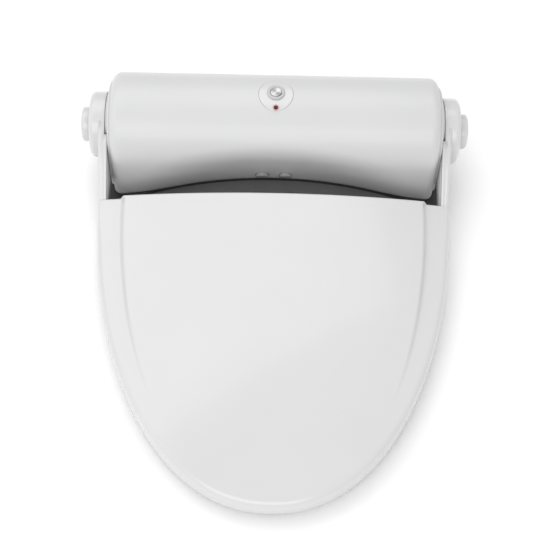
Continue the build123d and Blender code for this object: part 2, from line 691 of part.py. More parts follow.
def make_lid_arm():
    """Right arm with its hub drum, cored out from the inner side."""
    flank = make_face(Polyline((-6, 34), (-89.3, -11), (-125, -16), (-125, -44), (-89.3, -42), (-6, -34),
                               close=True))
    inside = ARM_IN - 1
    plan = make_face(Polyline((inside, 240), (ARM_OUT, 240), (ARM_OUT, HINGE_Y - 30), (LID_HALF + 0.2, 96),
                              (LID_HALF - 0.6, 60), (inside, 60), close=True))
    arm = extrude(hinge_plane(ARM_IN) * flank, amount=12) & extrude(plan, amount=150)
    drum = rod_x(ARM_IN, DRUM_OUT, HINGE_Y, HINGE_Z, DRUM_R)
    arm += fillet(drum.edges().sort_by(Axis.X)[-1], 4)
    core = rod_x(inside, DRUM_OUT - 4, HINGE_Y, HINGE_Z, DRUM_R - 4)
    arm -= core - rod_x(inside - 1, DRUM_OUT, HINGE_Y, HINGE_Z, 13)
    arm -= rod_x(inside, 192.4, HINGE_Y, HINGE_Z, PIN_R + RUNNING)
    return arm - rod_x(192.2, DRUM_OUT + 1, HINGE_Y, HINGE_Z, 10)


def make_hinge_cap():
    cap = rod_x(DRUM_OUT, CAP_OUT, HINGE_Y, HINGE_Z, CAP_R)
    cap = fillet(cap.edges().sort_by(Axis.X)[-1], 3)
    return cap + rod_x(193.5, DRUM_OUT, HINGE_Y, HINGE_Z, 9.98)


def make_lid():
    outer = lid_body(0, LID_BOTTOM)
    shell = outer - lid_body(WALL, LID_BOTTOM - 1)
    shell -= box(-ARM_IN, ARM_IN, LID_REAR_Y - 10, LID_REAR_Y + 10, 0, LID_REAR_WALL_Z)
    arm = make_lid_arm()
    return shell + arm + mirrored(arm)


def make_lid_bumpers():
    room = lid_body(WALL, LID_BOTTOM)
    return group(room & rod(x, y, SEAT_TOP + CLEAR, 80, 7) for x, y in LID_BUMPERS)


# ------------------------------------------------------------------ fixing to the bowl
def make_mounting_plate():
    """Plate bolted to the bowl, with a window for each bolt's bushing; the tray sits on it."""
    y0, y1 = MOUNT_Y
    plate = box(-MOUNT_HALF, MOUNT_HALF, y0, y1, 0, TRAY_Z)
    plate = fillet(plate.edges().filter_by(Axis.Z), 8)
    notch_y = nozzle_plane(NOZZLE_X).origin.Y - NOTCH_AHEAD
    plate -= box(-NOTCH_HALF, NOTCH_HALF, y0 - 1, notch_y, -1, TRAY_Z + 1)
    for s in (-1, 1):
        x = s * BOLT_SPACING / 2
        plate -= box(x - 28, x + 28, BOLT_Y - 9, BOLT_Y + 9, -1, TRAY_Z + 1)
    return plate


def make_bolt_bushings():
    bushings = []
    for s in (-1, 1):
        x = s * BOLT_SPACING / 2
        block = box(x - 14, x + 14, BOLT_Y - 8.9, BOLT_Y + 8.9, 0, 3)
        bushings.append(block - rod(x, BOLT_Y, -1, 4, BOLT_HOLE_R))
    return group(bushings)


def make_release_latch():
    """Spring-loaded slide with its press pad at the housing's right end."""
    low = TRAY_Z + 0.3
    bar = box(LATCH_TIP + 5, BODY_X - 0.5, LATCH_Y - LATCH_HALF, LATCH_Y + LATCH_HALF, low, low + 4)
    slot = box(LATCH_TIP + 14, LATCH_TIP + 30, LATCH_Y - 3, LATCH_Y + 3, low - 1, low + 5)
    return bar - slot


def make_latch_spring():
    x = LATCH_TIP + 0.5
    place = Pos(x, LATCH_Y, TRAY_Z + 2.3) * Rot(0, 90, 0) * Pos(0, 0, -7.8)
    coil = place * Helix(pitch=1.6, height=11.2, radius=1.5)
    start = Plane(origin=coil @ 0, z_dir=coil % 0)
    return sweep(start * Circle(0.3), path=coil, is_frenet=True)


def make_feet():
    spots = [(-150, 150), (150, 150), (-150, 222), (112, 226)]
    feet = []
    for x, y in spots:
        pad = rod(x, y, 0, TRAY_Z, 9)
        feet.append(fillet(pad.edges().group_by(Axis.Z)[0], 1.5))
    return group(feet)


def make_cover_screws():
    return group(screw(x, y, TRAY_Z + 0.5, 22) for x, y in COVER_SCREWS)


# ------------------------------------------------------------------ the whole part
def make_parts():
    shell = housing_shell()
    end_cover = make_end_cover()
    seat_arm = make_seat_arm()
    cap = make_hinge_cap()
    damper = make_damper()
    pin = make_hinge_pin()
    return {
        "base_tray": make_tray(shell),
        "housing_cover": make_cover(shell),
        "right_end_cover": end_cover,
        "left_end_cover": mirrored(end_cover),
        "cover_screws": make_cover_screws(),
        "housing_feet": make_feet(),
        "mounting_plate": make_mounting_plate(),
        "bolt_bushings": make_bolt_bushings(),
        "release_latch": make_release_latch(),
        "latch_spring": make_latch_spring(),
        "right_hinge_pin": pin,
        "left_hinge_pin": mirrored(pin),
        "seat_damper": damper,
        "lid_damper": mirrored(damper),
        "button_plate": make_button_plate(),
        "button_ring": make_button_ring(),
        "push_button": make_push_button(),
        "button_spring": make_button_spring(),
        "button_switch": make_button_switch(),
        "indicator_lens": radial_rod(LENS_ANGLE, HOUSING_R - 6.5, HOUSING_R + 0.6, LENS_R),
        "indicator_led": make_indicator_led(),
        "control_board": make_control_board(),
        "board_chips": make_board_chips(),
        "board_screws": make_board_screws(),
        "power_board": make_power_board(),
        "power_transformer": make_transformer(),
        "power_capacitors": make_capacitors(),
        "power_relays": make_relays(),
        "cord_grommet": make_cord_grommet(),
        "water_inlet": make_water_inlet(),
        "inlet_strainer": make_inlet_strainer(),
        "inlet_valve": make_valve_body(),
        "valve_coil": make_valve_coil(),
        "inlet_hose": make_inlet_hose(),
        "heater_tank": make_heater_tank(),
        "heater_tank_lid": make_tank_lid(),
        "heating_element": make_heating_element(),
        "heater_hose": make_heater_hose(),
        "diverter_valve": make_diverter(),
        "diverter_motor": make_diverter_motor(),
        "nozzle_hoses": make_nozzle_hoses(),
        "nozzle_guide": make_nozzle_guide(),
        "rear_nozzle_motor": make_nozzle_motor(-1),
        "front_nozzle_motor": make_nozzle_motor(1),
        "rear_nozzle_wand": make_wand(-1, 3),
        "front_nozzle_wand": make_wand(1, 5),
        "rear_nozzle_shield": make_shield(-1),
        "front_nozzle_shield": make_shield(1),
        "rear_nozzle_pinion": make_pinion(-1),
        "front_nozzle_pinion": make_pinion(1),
        "seat_ring_top": make_seat_top(),
        "seat_ring_bottom": make_seat_bottom(),
        "seat_heater_foil": make_seat_foil(),
        "seat_bumpers": make_seat_bumpers(),
        "seat_screws": make_seat_screws(),
        "seat_hinge_arms": both_sides(seat_arm),
        "lid_shell": make_lid(),
        "lid_bumpers": make_lid_bumpers(),
        "right_hinge_cap": cap,
        "left_hinge_cap": mirrored(cap),
    }


def main():
    os.makedirs("parts", exist_ok=True)
    for name, shape in make_parts().items():
        export_step(shape, f"parts/{name}.step")


if __name__ == "__main__":
    main()
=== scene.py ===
import json
import math

import bmesh
import bpy
import numpy as np
from bpy.props import FloatProperty, FloatVectorProperty, PointerProperty
from mathutils import Matrix, Vector


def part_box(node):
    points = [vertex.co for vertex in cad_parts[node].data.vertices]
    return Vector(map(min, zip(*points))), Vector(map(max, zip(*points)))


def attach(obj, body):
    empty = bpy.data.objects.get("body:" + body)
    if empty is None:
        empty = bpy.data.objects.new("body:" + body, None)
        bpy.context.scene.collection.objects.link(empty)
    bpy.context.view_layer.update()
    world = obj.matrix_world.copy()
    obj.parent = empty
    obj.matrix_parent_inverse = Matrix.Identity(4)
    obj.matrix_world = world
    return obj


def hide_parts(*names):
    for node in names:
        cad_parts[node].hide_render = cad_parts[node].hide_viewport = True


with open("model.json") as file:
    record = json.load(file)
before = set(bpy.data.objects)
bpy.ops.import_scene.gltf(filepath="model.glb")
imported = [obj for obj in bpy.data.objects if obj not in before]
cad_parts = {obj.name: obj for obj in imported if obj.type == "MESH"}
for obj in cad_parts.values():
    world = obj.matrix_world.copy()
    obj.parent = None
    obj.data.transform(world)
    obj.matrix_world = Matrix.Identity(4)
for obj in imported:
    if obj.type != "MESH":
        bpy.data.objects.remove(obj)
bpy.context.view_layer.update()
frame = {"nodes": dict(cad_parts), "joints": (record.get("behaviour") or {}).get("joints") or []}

bl_info = {
    "name": "Electric bidet seat",
    "version": (1, 0, 0),
    "blender": (4, 5, 0),
    "location": "View3D > Sidebar > Bidet seat",
    "description": "Builds the shells, lid, button and finishes of an electric bidet seat on its frame",
    "category": "Object",
}


# ------------------------------------------------------------------ sizes read from the frame, metres
def joint_named(name):
    return next(j for j in frame["joints"] if j["name"] == name)


LID_LOW, LID_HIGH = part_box("lid_shell")
COVER_LOW, COVER_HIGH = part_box("housing_cover")
CAP_LOW, CAP_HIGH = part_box("right_hinge_cap")
PLATE_LOW, PLATE_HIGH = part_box("button_plate")
RING_LOW, RING_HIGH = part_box("button_ring")
SEAT_LOW, SEAT_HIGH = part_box("seat_ring_top")
ARMS_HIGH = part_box("seat_hinge_arms")[1]
END_LOW, END_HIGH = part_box("right_end_cover")

HINGE_Y, HINGE_Z = joint_named("lid_hinge")["pos_m"][1:]
HOUSING_R = COVER_HIGH.z - HINGE_Z
BODY_X = COVER_HIGH.x
END_X = END_HIGH.x
TOP_Z = COVER_HIGH.z
DRUM_R = LID_HIGH.y - HINGE_Y
DRUM_OUT = LID_HIGH.x
CAP_OUT = CAP_HIGH.x
TIP_Y = LID_LOW.y
LID_BOTTOM = LID_LOW.z
PARTING_Z = COVER_LOW.z
INSERT_Y = (PLATE_LOW.y + PLATE_HIGH.y) / 2
INSERT_A = (PLATE_HIGH.x - PLATE_LOW.x) / 2      # half-axes of the button insert's oval
INSERT_B = (PLATE_HIGH.y - PLATE_LOW.y) / 2

# ------------------------------------------------------------------ shapes that are fixed, metres
SCOOP_AHEAD = 0.400          # centre of the scoop's ball in front of the housing's front
SCOOP_Z = -0.096
SCOOP_R = 0.4397
SCOOP_LIMIT = 0.02           # the scoop acts on what is this far in front of the hinge axis
PATCH_X = 0.026              # half-width and half-angle of the finer patch round the insert
PATCH_DEG = 27.5
INSERT_GAP = 0.00012
PORT_PLAY = 0.0004           # room round the wands' shields, and reach of the cut
PORT_REACH = 0.009
END_LIP = 0.0125             # how far the housing's ends turn in
PLATE_TRIM = 0.0022          # end cover's visible plate is this much smaller than its box
PLATE_LAP = 0.008            # end cover's collar inside the housing
PLATE_EDGE = 0.0016
PLATE_CORNER = 0.004
COLLAR = 0.0062
CROWN = 0.064                # lid's height at its rear edge
CROWN_SLOPE = math.radians(2.4)
CROWN_LONG_R = 3.0
CROWN_CROSS_R = 1.3
STEP_AT = (0.842, 0.866)     # panel's side step, as a share of the lid's half-width
STEP_FADE = (0.075, 0.255)   # step fades out between these distances in front of the rear edge
OUTLINE_ALONG = 1.96         # powers of the plan outline shared by lid and seat
OUTLINE_ACROSS = 1 / 2.15
REAR_EDGE = 0.0025           # rounding of the lid's rear edge
LID_REAR_WALL = 0.034        # foot of the lid's rear wall
FOOT_EDGE = 0.0008           # rounding at the foot of the lid's skirt
ARM_IN = 0.182               # lid arm's inner and outer faces
ARM_OUT = 0.1894
ARM_LEAN = 0.0303
ARM_EDGE = 0.0022
ARM_END_Y = 0.060
SEAT_ARM_END_Y = 0.0537
SEAT_ARM = 0.0028            # thickness of a seat arm
SEAT_ARM_EDGE = 0.0004
OPENING_HALF = 0.108         # opening of the seat ring
OPENING_Y = (-0.180, 0.066)
HEAD_R = 0.0034              # pan-head screws: head, shank, pitch of the thread, cross recess
HEAD_TALL = 0.0020
SHANK_R = 0.00175
THREAD = 0.0007
CROSS_DEEP = 0.0009
SCREW_SEED = 7
UPRIGHT = 0.006              # a screw taller than this stands upright; a flush one lies along X
FULL = 2 * math.pi

CAMERA_ANGLES = [math.radians(a) for a in (57, -1.49, 2.32)]      # above the floor, sideways, roll
CAMERA_TARGET = (0.0022, 0.0138, 0.030)
CAMERA_AWAY = 1.25
LENS = 78.55                 # millimetres
SENSOR = 36
FLOOR = 8.0
SKY = 0.80                   # strength of the white surroundings
LIT_POINT = (0, 0.05, 0.05)
LAMPS = (("key", (-0.5, 1.1, 2.0), (2.4, 1.6), 15),               # place, size, watts
         ("front", (-0.4, -2.2, 1.9), (3.0, 1.8), 32),
         ("left", (-2.0, 0.0, 1.4), (1.6, 1.6), 4))


# ------------------------------------------------------------------ what a user would change
class BidetSizes(bpy.types.PropertyGroup):
    lid_half: FloatProperty(
        name="Lid half-width", description="Half the width of the lid at its rear edge",
        default=0.187, unit="LENGTH")
    lid_rear: FloatProperty(
        name="Lid rear edge", description="Distance of the lid's rear edge in front of the hinge axis",
        default=0.0893, unit="LENGTH")
    lid_edge: FloatProperty(
        name="Lid edge rounding", description="Radius of the lid's upper edge", default=0.008, unit="LENGTH")
    lid_step: FloatProperty(
        name="Panel step", description="Height of the raised centre panel over the lid's shoulders",
        default=0.0055, unit="LENGTH")
    wall: FloatProperty(
        name="Wall", description="Thickness of the moulded shells", default=0.003, unit="LENGTH")
    rim: FloatProperty(
        name="Housing rim rounding", description="Radius of the housing's end rims",
        default=0.010, unit="LENGTH")
    scoop_soft: FloatProperty(
        name="Scoop edge", description="Softness of the edge between scoop and housing front",
        default=0.012, unit="LENGTH")
    drum_edge: FloatProperty(
        name="Hub rounding", description="Radius of the hub drums' outer edge", default=0.006, unit="LENGTH")
    cap_edge: FloatProperty(
        name="Cap rounding", description="Radius of the hinge caps' outer edge", default=0.003, unit="LENGTH")


class BidetFinish(bpy.types.PropertyGroup):
    housing: FloatVectorProperty(
        name="Housing", description="Colour of the housing's plastic", subtype="COLOR",
        default=(0.60, 0.60, 0.605), min=0, max=1)
    lid: FloatVectorProperty(
        name="Lid", description="Colour of the lid's plastic", subtype="COLOR",
        default=(0.615, 0.615, 0.615), min=0, max=1)
    seat: FloatVectorProperty(
        name="Seat", description="Colour of the seat's plastic", subtype="COLOR",
        default=(0.60, 0.60, 0.59), min=0, max=1)
    window: FloatVectorProperty(
        name="Window", description="Colour of the indicator window", subtype="COLOR",
        default=(0.06, 0.004, 0.008), min=0, max=1)
    metal: FloatVectorProperty(
        name="Button", description="Colour of the button's metal face", subtype="COLOR",
        default=(0.50, 0.50, 0.49), min=0, max=1)
    floor: FloatVectorProperty(
        name="Floor", description="Colour of the floor", subtype="COLOR", default=(0.96, 0.96, 0.96),
        min=0, max=1)


def sizes():
    return bpy.context.scene.bidet_sizes


def finish():
    return bpy.context.scene.bidet_finish


# ------------------------------------------------------------------ node helpers
def socket_in(tree, kind, name, default):
    item = tree.interface.new_socket(name=name, in_out="INPUT", socket_type=kind)
    item.default_value = default
    return item


def socket_out(tree, kind, name):
    return tree.interface.new_socket(name=name, in_out="OUTPUT", socket_type=kind)


def add_node(tree, kind, values=None, **settings):
    """New node with its settings, and the values of its unlinked inputs."""
    node = tree.nodes.new(kind)
    for key, value in settings.items():
        setattr(node, key, value)
    for key, value in (values or {}).items():
        node.inputs[key].default_value = value
    return node


def wire(tree, *pairs):
    """Links each pair's output to its input; a bare node stands for its first output."""
    for source, target in pairs:
        tree.links.new(source.outputs[0] if hasattr(source, "outputs") else source, target)


def mould_group():
    """Fine surface of moulded plastic: tone drift, polish drift, light dust and an orange-peel height."""
    name = "Moulded surface"
    if name in bpy.data.node_groups:
        return bpy.data.node_groups[name]
    tree = bpy.data.node_groups.new(name, "ShaderNodeTree")
    socket_in(tree, "NodeSocketColor", "Colour", (0.8, 0.8, 0.8, 1))
    socket_in(tree, "NodeSocketFloat", "Polish", 0.2)
    socket_in(tree, "NodeSocketFloat", "Drift", 0.03)
    socket_in(tree, "NodeSocketFloat", "Peel scale", 900.0)
    for kind, label in (("NodeSocketColor", "Colour"), ("NodeSocketFloat", "Roughness"),
                        ("NodeSocketFloat", "Height")):
        socket_out(tree, kind, label)
    inp = add_node(tree, "NodeGroupInput")
    out = add_node(tree, "NodeGroupOutput")
    place = add_node(tree, "ShaderNodeTexCoord")
    clouds = add_node(tree, "ShaderNodeTexNoise", {"Scale": 9.0, "Detail": 3.0})
    dust = add_node(tree, "ShaderNodeTexNoise", {"Scale": 260.0, "Detail": 4.0})
    peel = add_node(tree, "ShaderNodeTexNoise", {"Detail": 1.5})
    tone = add_node(tree, "ShaderNodeMapRange", {"From Min": 0.3, "From Max": 0.7, "To Max": 1.0})
    low = add_node(tree, "ShaderNodeMath", {0: 1.0}, operation="SUBTRACT")
    shade = add_node(tree, "ShaderNodeVectorMath", operation="SCALE")
    grit = add_node(tree, "ShaderNodeMapRange",
                    {"From Min": 0.35, "From Max": 0.75, "To Min": -0.01, "To Max": 0.03})
    rough = add_node(tree, "ShaderNodeMath", operation="ADD")
    wire(tree, *[(place.outputs["Object"], tex.inputs["Vector"]) for tex in (clouds, dust, peel)],
         (inp.outputs["Peel scale"], peel.inputs["Scale"]),
         (inp.outputs["Drift"], low.inputs[1]),
         (clouds.outputs["Fac"], tone.inputs["Value"]),
         (low, tone.inputs["To Min"]),
         (inp.outputs["Colour"], shade.inputs[0]),
         (tone, shade.inputs["Scale"]),
         (shade, out.inputs["Colour"]),
         (dust.outputs["Fac"], grit.inputs["Value"]),
         (inp.outputs["Polish"], rough.inputs[0]),
         (grit, rough.inputs[1]),
         (rough, out.inputs["Roughness"]),
         (peel.outputs["Fac"], out.inputs["Height"]))
    return tree


def new_material(name):
    """Material's node tree and shader; material() finds it again by name."""
    mat = bpy.data.materials.new(name)
    mat.use_nodes = True
    return mat.node_tree, mat.node_tree.nodes["Principled BSDF"]


def bump_into(tree, shader, height, strength, distance):
    """Turns a height into the shader's normal."""
    bump = add_node(tree, "ShaderNodeBump", {"Strength": strength, "Distance": distance})
    wire(tree, (height, bump.inputs["Height"]), (bump, shader.inputs["Normal"]))


def plastic(name, colour, polish, coat=0.0, peel=700.0, peel_depth=0.012, drift=0.03):
    """Moulded plastic, from gloss to matt."""
    tree, shader = new_material(name)
    skin = add_node(tree, "ShaderNodeGroup", node_tree=mould_group())
    for key, value in (("Colour", (*colour, 1)), ("Polish", polish), ("Drift", drift), ("Peel scale", peel)):
        skin.inputs[key].default_value = value
    wire(tree, (skin.outputs["Colour"], shader.inputs["Base Color"]),
         (skin.outputs["Roughness"], shader.inputs["Roughness"]))
    shader.inputs["IOR"].default_value = 1.5
    shader.inputs["Coat Weight"].default_value = coat
    shader.inputs["Coat Roughness"].default_value = 0.08
    bump_into(tree, shader, skin.outputs["Height"], peel_depth, 0.0004)


def metal(name, colour, polish, streak=(1.0, 1.0, 1.0)):
    """Bare metal with fine machining streaks."""
    tree, shader = new_material(name)
    place = add_node(tree, "ShaderNodeTexCoord")
    stretch = add_node(tree, "ShaderNodeMapping", {"Scale": streak})
    grain = add_node(tree, "ShaderNodeTexNoise", {"Scale": 1400.0})
    tone = add_node(tree, "ShaderNodeMapRange", {"To Min": polish - 0.06, "To Max": polish + 0.08})
    wire(tree, (place.outputs["Object"], stretch.inputs["Vector"]),
         (stretch, grain.inputs["Vector"]),
         (grain.outputs["Fac"], tone.inputs["Value"]),
         (tone, shader.inputs["Roughness"]))
    shader.inputs["Base Color"].default_value = (*colour, 1)
    shader.inputs["Metallic"].default_value = 1.0
    bump_into(tree, shader, grain.outputs["Fac"], 0.05, 0.0002)


def spun_metal_painted_reflection(name, colour, polish, centre):
    """Metal disc spun on a lathe, with painted reflections: lighter and darker wedge shapes in its colour
    about its centre.
    """
    tree, shader = new_material(name)
    place = add_node(tree, "ShaderNodeTexCoord")
    centred = add_node(tree, "ShaderNodeMapping", {"Location": [-c for c in centre]})
    # Painted reflection: the base colour goes lighter and darker twice round the centre, in place of the
    # streaked reflections of spun metal.
    turn = add_node(tree, "ShaderNodeTexGradient", gradient_type="RADIAL")
    reflection_wedges = add_node(tree, "ShaderNodeMath", {1: 2 * FULL}, operation="MULTIPLY")
    wave = add_node(tree, "ShaderNodeMath", operation="SINE")
    tone = add_node(tree, "ShaderNodeMapRange", {"From Min": -1.0, "To Min": 0.62, "To Max": 1.25})
    shade = add_node(tree, "ShaderNodeVectorMath", {0: colour}, operation="SCALE")
    rings = add_node(tree, "ShaderNodeTexWave", {"Scale": 900.0}, wave_type="RINGS", rings_direction="Z")
    wire(tree, (place.outputs["Object"], centred.inputs["Vector"]),
         (centred, turn.inputs["Vector"]),
         (turn.outputs["Fac"], reflection_wedges.inputs[0]),
         (reflection_wedges, wave.inputs[0]),
         (wave, tone.inputs["Value"]),
         (tone, shade.inputs["Scale"]),
         (shade, shader.inputs["Base Color"]),
         (centred, rings.inputs["Vector"]))
    shader.inputs["Metallic"].default_value = 1.0
    shader.inputs["Roughness"].default_value = polish
    bump_into(tree, shader, rings.outputs["Fac"], 0.1, 0.0001)


# ------------------------------------------------------------------ mesh helpers
def make_object(name, points, faces, material, body, smooth=True):
    """Plain mesh in the frame's own metres, welded, with its faces turned outwards."""
    mesh = bpy.data.meshes.new(name)
    mesh.from_pydata([tuple(p) for p in points], [], faces)
    work = bmesh.new()
    work.from_mesh(mesh)
    bmesh.ops.remove_doubles(work, verts=work.verts, dist=1e-6)
    bmesh.ops.dissolve_degenerate(work, dist=1e-7, edges=work.edges)
    bmesh.ops.recalc_face_normals(work, faces=work.faces)
    work.to_mesh(mesh)
    work.free()
    mesh.polygons.foreach_set("use_smooth", [smooth] * len(mesh.polygons))
    piece = bpy.data.objects.new(name, mesh)
    bpy.context.scene.collection.objects.link(piece)
    mesh.materials.append(material)
    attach(piece, body)
    return piece


def bridge(rows, count, base=0):
    """Quads between closed rows of equal length stored one after another."""
    faces = []
    for r in range(rows - 1):
        row = base + r * count
        for c in range(count):
            d = (c + 1) % count
            faces.append((row + c, row + d, row + count + d, row + count + c))
    return faces


def tube(rows, count, base=0):
    """Bridge between closed rows, with a face over the first row and one over the last."""
    last = base + (rows - 1) * count
    return bridge(rows, count, base) + [tuple(range(base, base + count)), tuple(range(last, last + count))]


def wrap(first, last, count):
    """Quads that join a solid's first row to its last."""
    return [(first + i, last + i, last + (i + 1) % count, first + (i + 1) % count) for i in range(count)]


def grid_faces(rows, cols, base=0, left_out=lambda r, c: False):
    """Quads of an open grid stored row by row."""
    return [(base + r * cols + c, base + r * cols + c + 1, base + (r + 1) * cols + c + 1,
             base + (r + 1) * cols + c)
            for r in range(rows - 1) for c in range(cols - 1) if not left_out(r, c)]


def circle(steps):
    """Cosine and sine of evenly spaced turns."""
    return [(math.cos(FULL * i / steps), math.sin(FULL * i / steps)) for i in range(steps)]


def lathe(profile, side, steps=128, at=(HINGE_Y, HINGE_Z)):
    """Surface turned about a line along X from (radius, x) pairs, on one side of the middle."""
    points = [(side * x, at[0] + radius * c, at[1] + radius * s)
              for radius, x in profile for c, s in circle(steps)]
    return points, bridge(len(profile), steps)


def lathe_z(profile, centre, steps=96):
    """Surface turned about an upright axis from (radius, z) pairs."""
    points = [(centre[0] + radius * c, centre[1] + radius * s, z)
              for radius, z in profile for c, s in circle(steps)]
    return points, bridge(len(profile), steps)


def arc(cx, cy, radius, start, end, steps):
    """Points of an arc between two angles in degrees."""
    turns = [math.radians(start + (end - start) * i / steps) for i in range(steps + 1)]
    return [(cx + radius * math.cos(t), cy + radius * math.sin(t)) for t in turns]


def smoothstep(x, low, high):
    """Soft ramp from 0 at low to 1 at high."""
    t = np.clip((np.asarray(x, float) - low) / (high - low), 0, 1)
    return t * t * (3 - 2 * t)


# ------------------------------------------------------------------ housing
def scooped(x, y, z):
    """Moves points of the housing's front back to the scoop, with a soft edge between the two."""
    soft = sizes().scoop_soft
    inside = np.maximum(SCOOP_R ** 2 - x ** 2 - (z - SCOOP_Z) ** 2, 0)
    hollow = HINGE_Y - HOUSING_R - SCOOP_AHEAD + np.sqrt(inside)
    mix = np.clip(0.5 + 0.5 * (hollow - y) / soft, 0, 1)
    return y + (hollow - y) * mix + soft * mix * (1 - mix)


def housing_points(xs, insets, angles, legs_front, legs_rear):
    """Grid of the housing's skin: one row for each section point, one column for each x."""
    rows = []
    for z in legs_front:
        rows.append([(x, HINGE_Y - (HOUSING_R - d), z) for x, d in zip(xs, insets)])
    for a in angles:
        rows.append([(x, HINGE_Y - (HOUSING_R - d) * math.cos(a), HINGE_Z + (HOUSING_R - d) * math.sin(a))
                     for x, d in zip(xs, insets)])
    for z in legs_rear:
        rows.append([(x, HINGE_Y + (HOUSING_R - d), z) for x, d in zip(xs, insets)])
    grid = np.array(rows)
    front = grid[..., 1] < HINGE_Y - SCOOP_LIMIT
    moved = scooped(grid[..., 0], grid[..., 1], grid[..., 2])
    grid[..., 1] = np.where(front, np.maximum(moved, grid[..., 1]), grid[..., 1])
    return grid


def on_top(x, y, lift=0.0):
    """Point of the housing's round top above a place in plan, raised along z."""
    return (x, y, HINGE_Z + math.sqrt(HOUSING_R ** 2 - (y - HINGE_Y) ** 2) + lift)


class BIDET_OT_housing(bpy.types.Operator):
    """Cover of the housing with its scoop, rounded rims and the recess for the button insert"""
    bl_idname = "bidet.housing"
    bl_label = "Housing cover"

    def execute(self, context):
        s = sizes()
        turn = np.radians(np.linspace(90, 0, 9))
        end = [BODY_X - s.rim + s.rim * math.sin(t) for t in turn]
        end_inset = [s.rim * (1 - math.cos(t)) for t in turn]
        middle = np.linspace(PATCH_X, BODY_X - s.rim, 51)[1:-1]
        centre = np.linspace(-PATCH_X, PATCH_X, 27)
        xs = [-BODY_X] + [-x for x in end] + [-x for x in middle[::-1]] + list(centre) + list(middle)
        xs += end[::-1] + [BODY_X]
        flat = [0.0] * (2 * len(middle) + len(centre))
        insets = [END_LIP] + end_inset + flat + end_inset[::-1] + [END_LIP]
        angles = np.radians(np.arange(2.5, 180, 2.5))
        legs_front = np.linspace(PARTING_Z, HINGE_Z, 26)
        legs_rear = np.linspace(HINGE_Z, PARTING_Z, 12)
        grid = housing_points(xs, insets, angles, legs_front, legs_rear)
        rows, cols = grid.shape[:2]
        points = grid.reshape(-1, 3).tolist()
        angle_of = {len(legs_front) + i: math.degrees(a) for i, a in enumerate(angles)}
        r0 = next(r for r, a in angle_of.items() if abs(a - (90 - PATCH_DEG)) < 0.01)
        r1 = next(r for r, a in angle_of.items() if abs(a - (90 + PATCH_DEG)) < 0.01)
        c0 = xs.index(centre[0])
        c1 = c0 + len(centre) - 1
        faces = grid_faces(rows, cols, left_out=lambda r, c: r0 <= r < r1 and c0 <= c < c1)
        edge = [(r0, c) for c in range(c0, c1)] + [(r, c1) for r in range(r0, r1)]
        edge += [(r1, c) for c in range(c1, c0, -1)] + [(r, c0) for r in range(r1, r0, -1)]
        outer = [Vector(points[r * cols + c]) for r, c in edge]
        rim = INSERT_GAP + 0.0004
        steps = [(w, rim, 0.0) for w in (0.85, 0.65, 0.45, 0.28, 0.14, 0.05, 0.0)]
        steps += [(0.0, INSERT_GAP + 0.0001, -0.0001), (0.0, INSERT_GAP, -0.0004), (0.0, INSERT_GAP, -0.0016)]
        faces += bridge(len(steps) + 1, len(outer), len(points))
        points += [tuple(p) for p in outer]
        for w, grow, lift in steps:
            points += [self.between(p, w, grow, lift) for p in outer]
        piece = make_object("housing_cover_shell", points, faces, material("housing"), "housing")
        solid = piece.modifiers.new("Wall", "SOLIDIFY")
        solid.thickness = s.wall * 0.8
        solid.offset = -1
        self.open_ports(piece)
        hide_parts("housing_cover")
        return {"FINISHED"}

    @staticmethod
    def open_ports(piece):
        """Round holes along the wands' slides, cut through the wall, with the piece made a plain mesh."""
        points, faces = [], []
        steps = 64
        for slide, shield in (("rear_wand_slide", "rear_nozzle_shield"),
                              ("front_wand_slide", "front_nozzle_shield")):
            low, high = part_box(shield)
            centre = (low + high) / 2
            axis = Vector(joint_named(slide)["axis"]).normalized()
            across = Vector((1, 0, 0))
            upward = axis.cross(across)
            radius = (high.x - low.x) / 2 + PORT_PLAY
            faces += tube(2, steps, len(points))
            for reach in (-PORT_REACH, PORT_REACH):
                points += [centre + axis * reach + across * (radius * c) + upward * (radius * s)
                           for c, s in circle(steps)]
        cutter = make_object("port_cutter", points, faces, material("housing"), "housing")
        cut = piece.modifiers.new("Ports", "BOOLEAN")
        cut.operation = "DIFFERENCE"
        cut.solver = "EXACT"
        cut.object = cutter
        plain = bpy.data.meshes.new_from_object(piece.evaluated_get(bpy.context.evaluated_depsgraph_get()))
        piece.modifiers.clear()
        piece.data = plain
        bpy.data.objects.remove(cutter)
        edges = {}
        for face in plain.polygons:
            for key in face.edge_keys:
                edges[key] = edges.get(key, 0) + 1
        if any(uses != 2 for uses in edges.values()):
            raise RuntimeError("the housing's wall isn't closed after its ports are cut")

    @staticmethod
    def between(p, w, grow, lift):
        """Point between the insert's oval, grown sideways, and a point of the patch's border."""
        a = math.atan2((p[1] - INSERT_Y) / INSERT_B, p[0] / INSERT_A)
        x = (INSERT_A + grow) * math.cos(a)
        y = INSERT_Y + (INSERT_B + grow) * math.sin(a)
        return on_top(x + (p[0] - x) * w, y + (p[1] - y) * w, lift)


def u_outline(radius, bottom, corner, steps=64):
    """Closed outline of the U-shaped section about the hinge, as (y, z) pairs."""
    points = [(radius * math.cos(t), radius * math.sin(t))
              for t in np.linspace(0, math.pi, steps + 1)]
    points += [(-radius, z) for z in np.linspace(0, bottom + corner, 10)[1:-1]]
    points += [(-radius + corner - corner * math.cos(t), bottom + corner - corner * math.sin(t))
               for t in np.linspace(0, math.pi / 2, 7)]
    points += [(radius - corner + corner * math.sin(t), bottom + corner - corner * math.cos(t))
               for t in np.linspace(0, math.pi / 2, 7)]
    points += [(radius, z) for z in np.linspace(bottom + corner, 0, 10)[1:-1]]
    return [(HINGE_Y + y, HINGE_Z + z) for y, z in points]


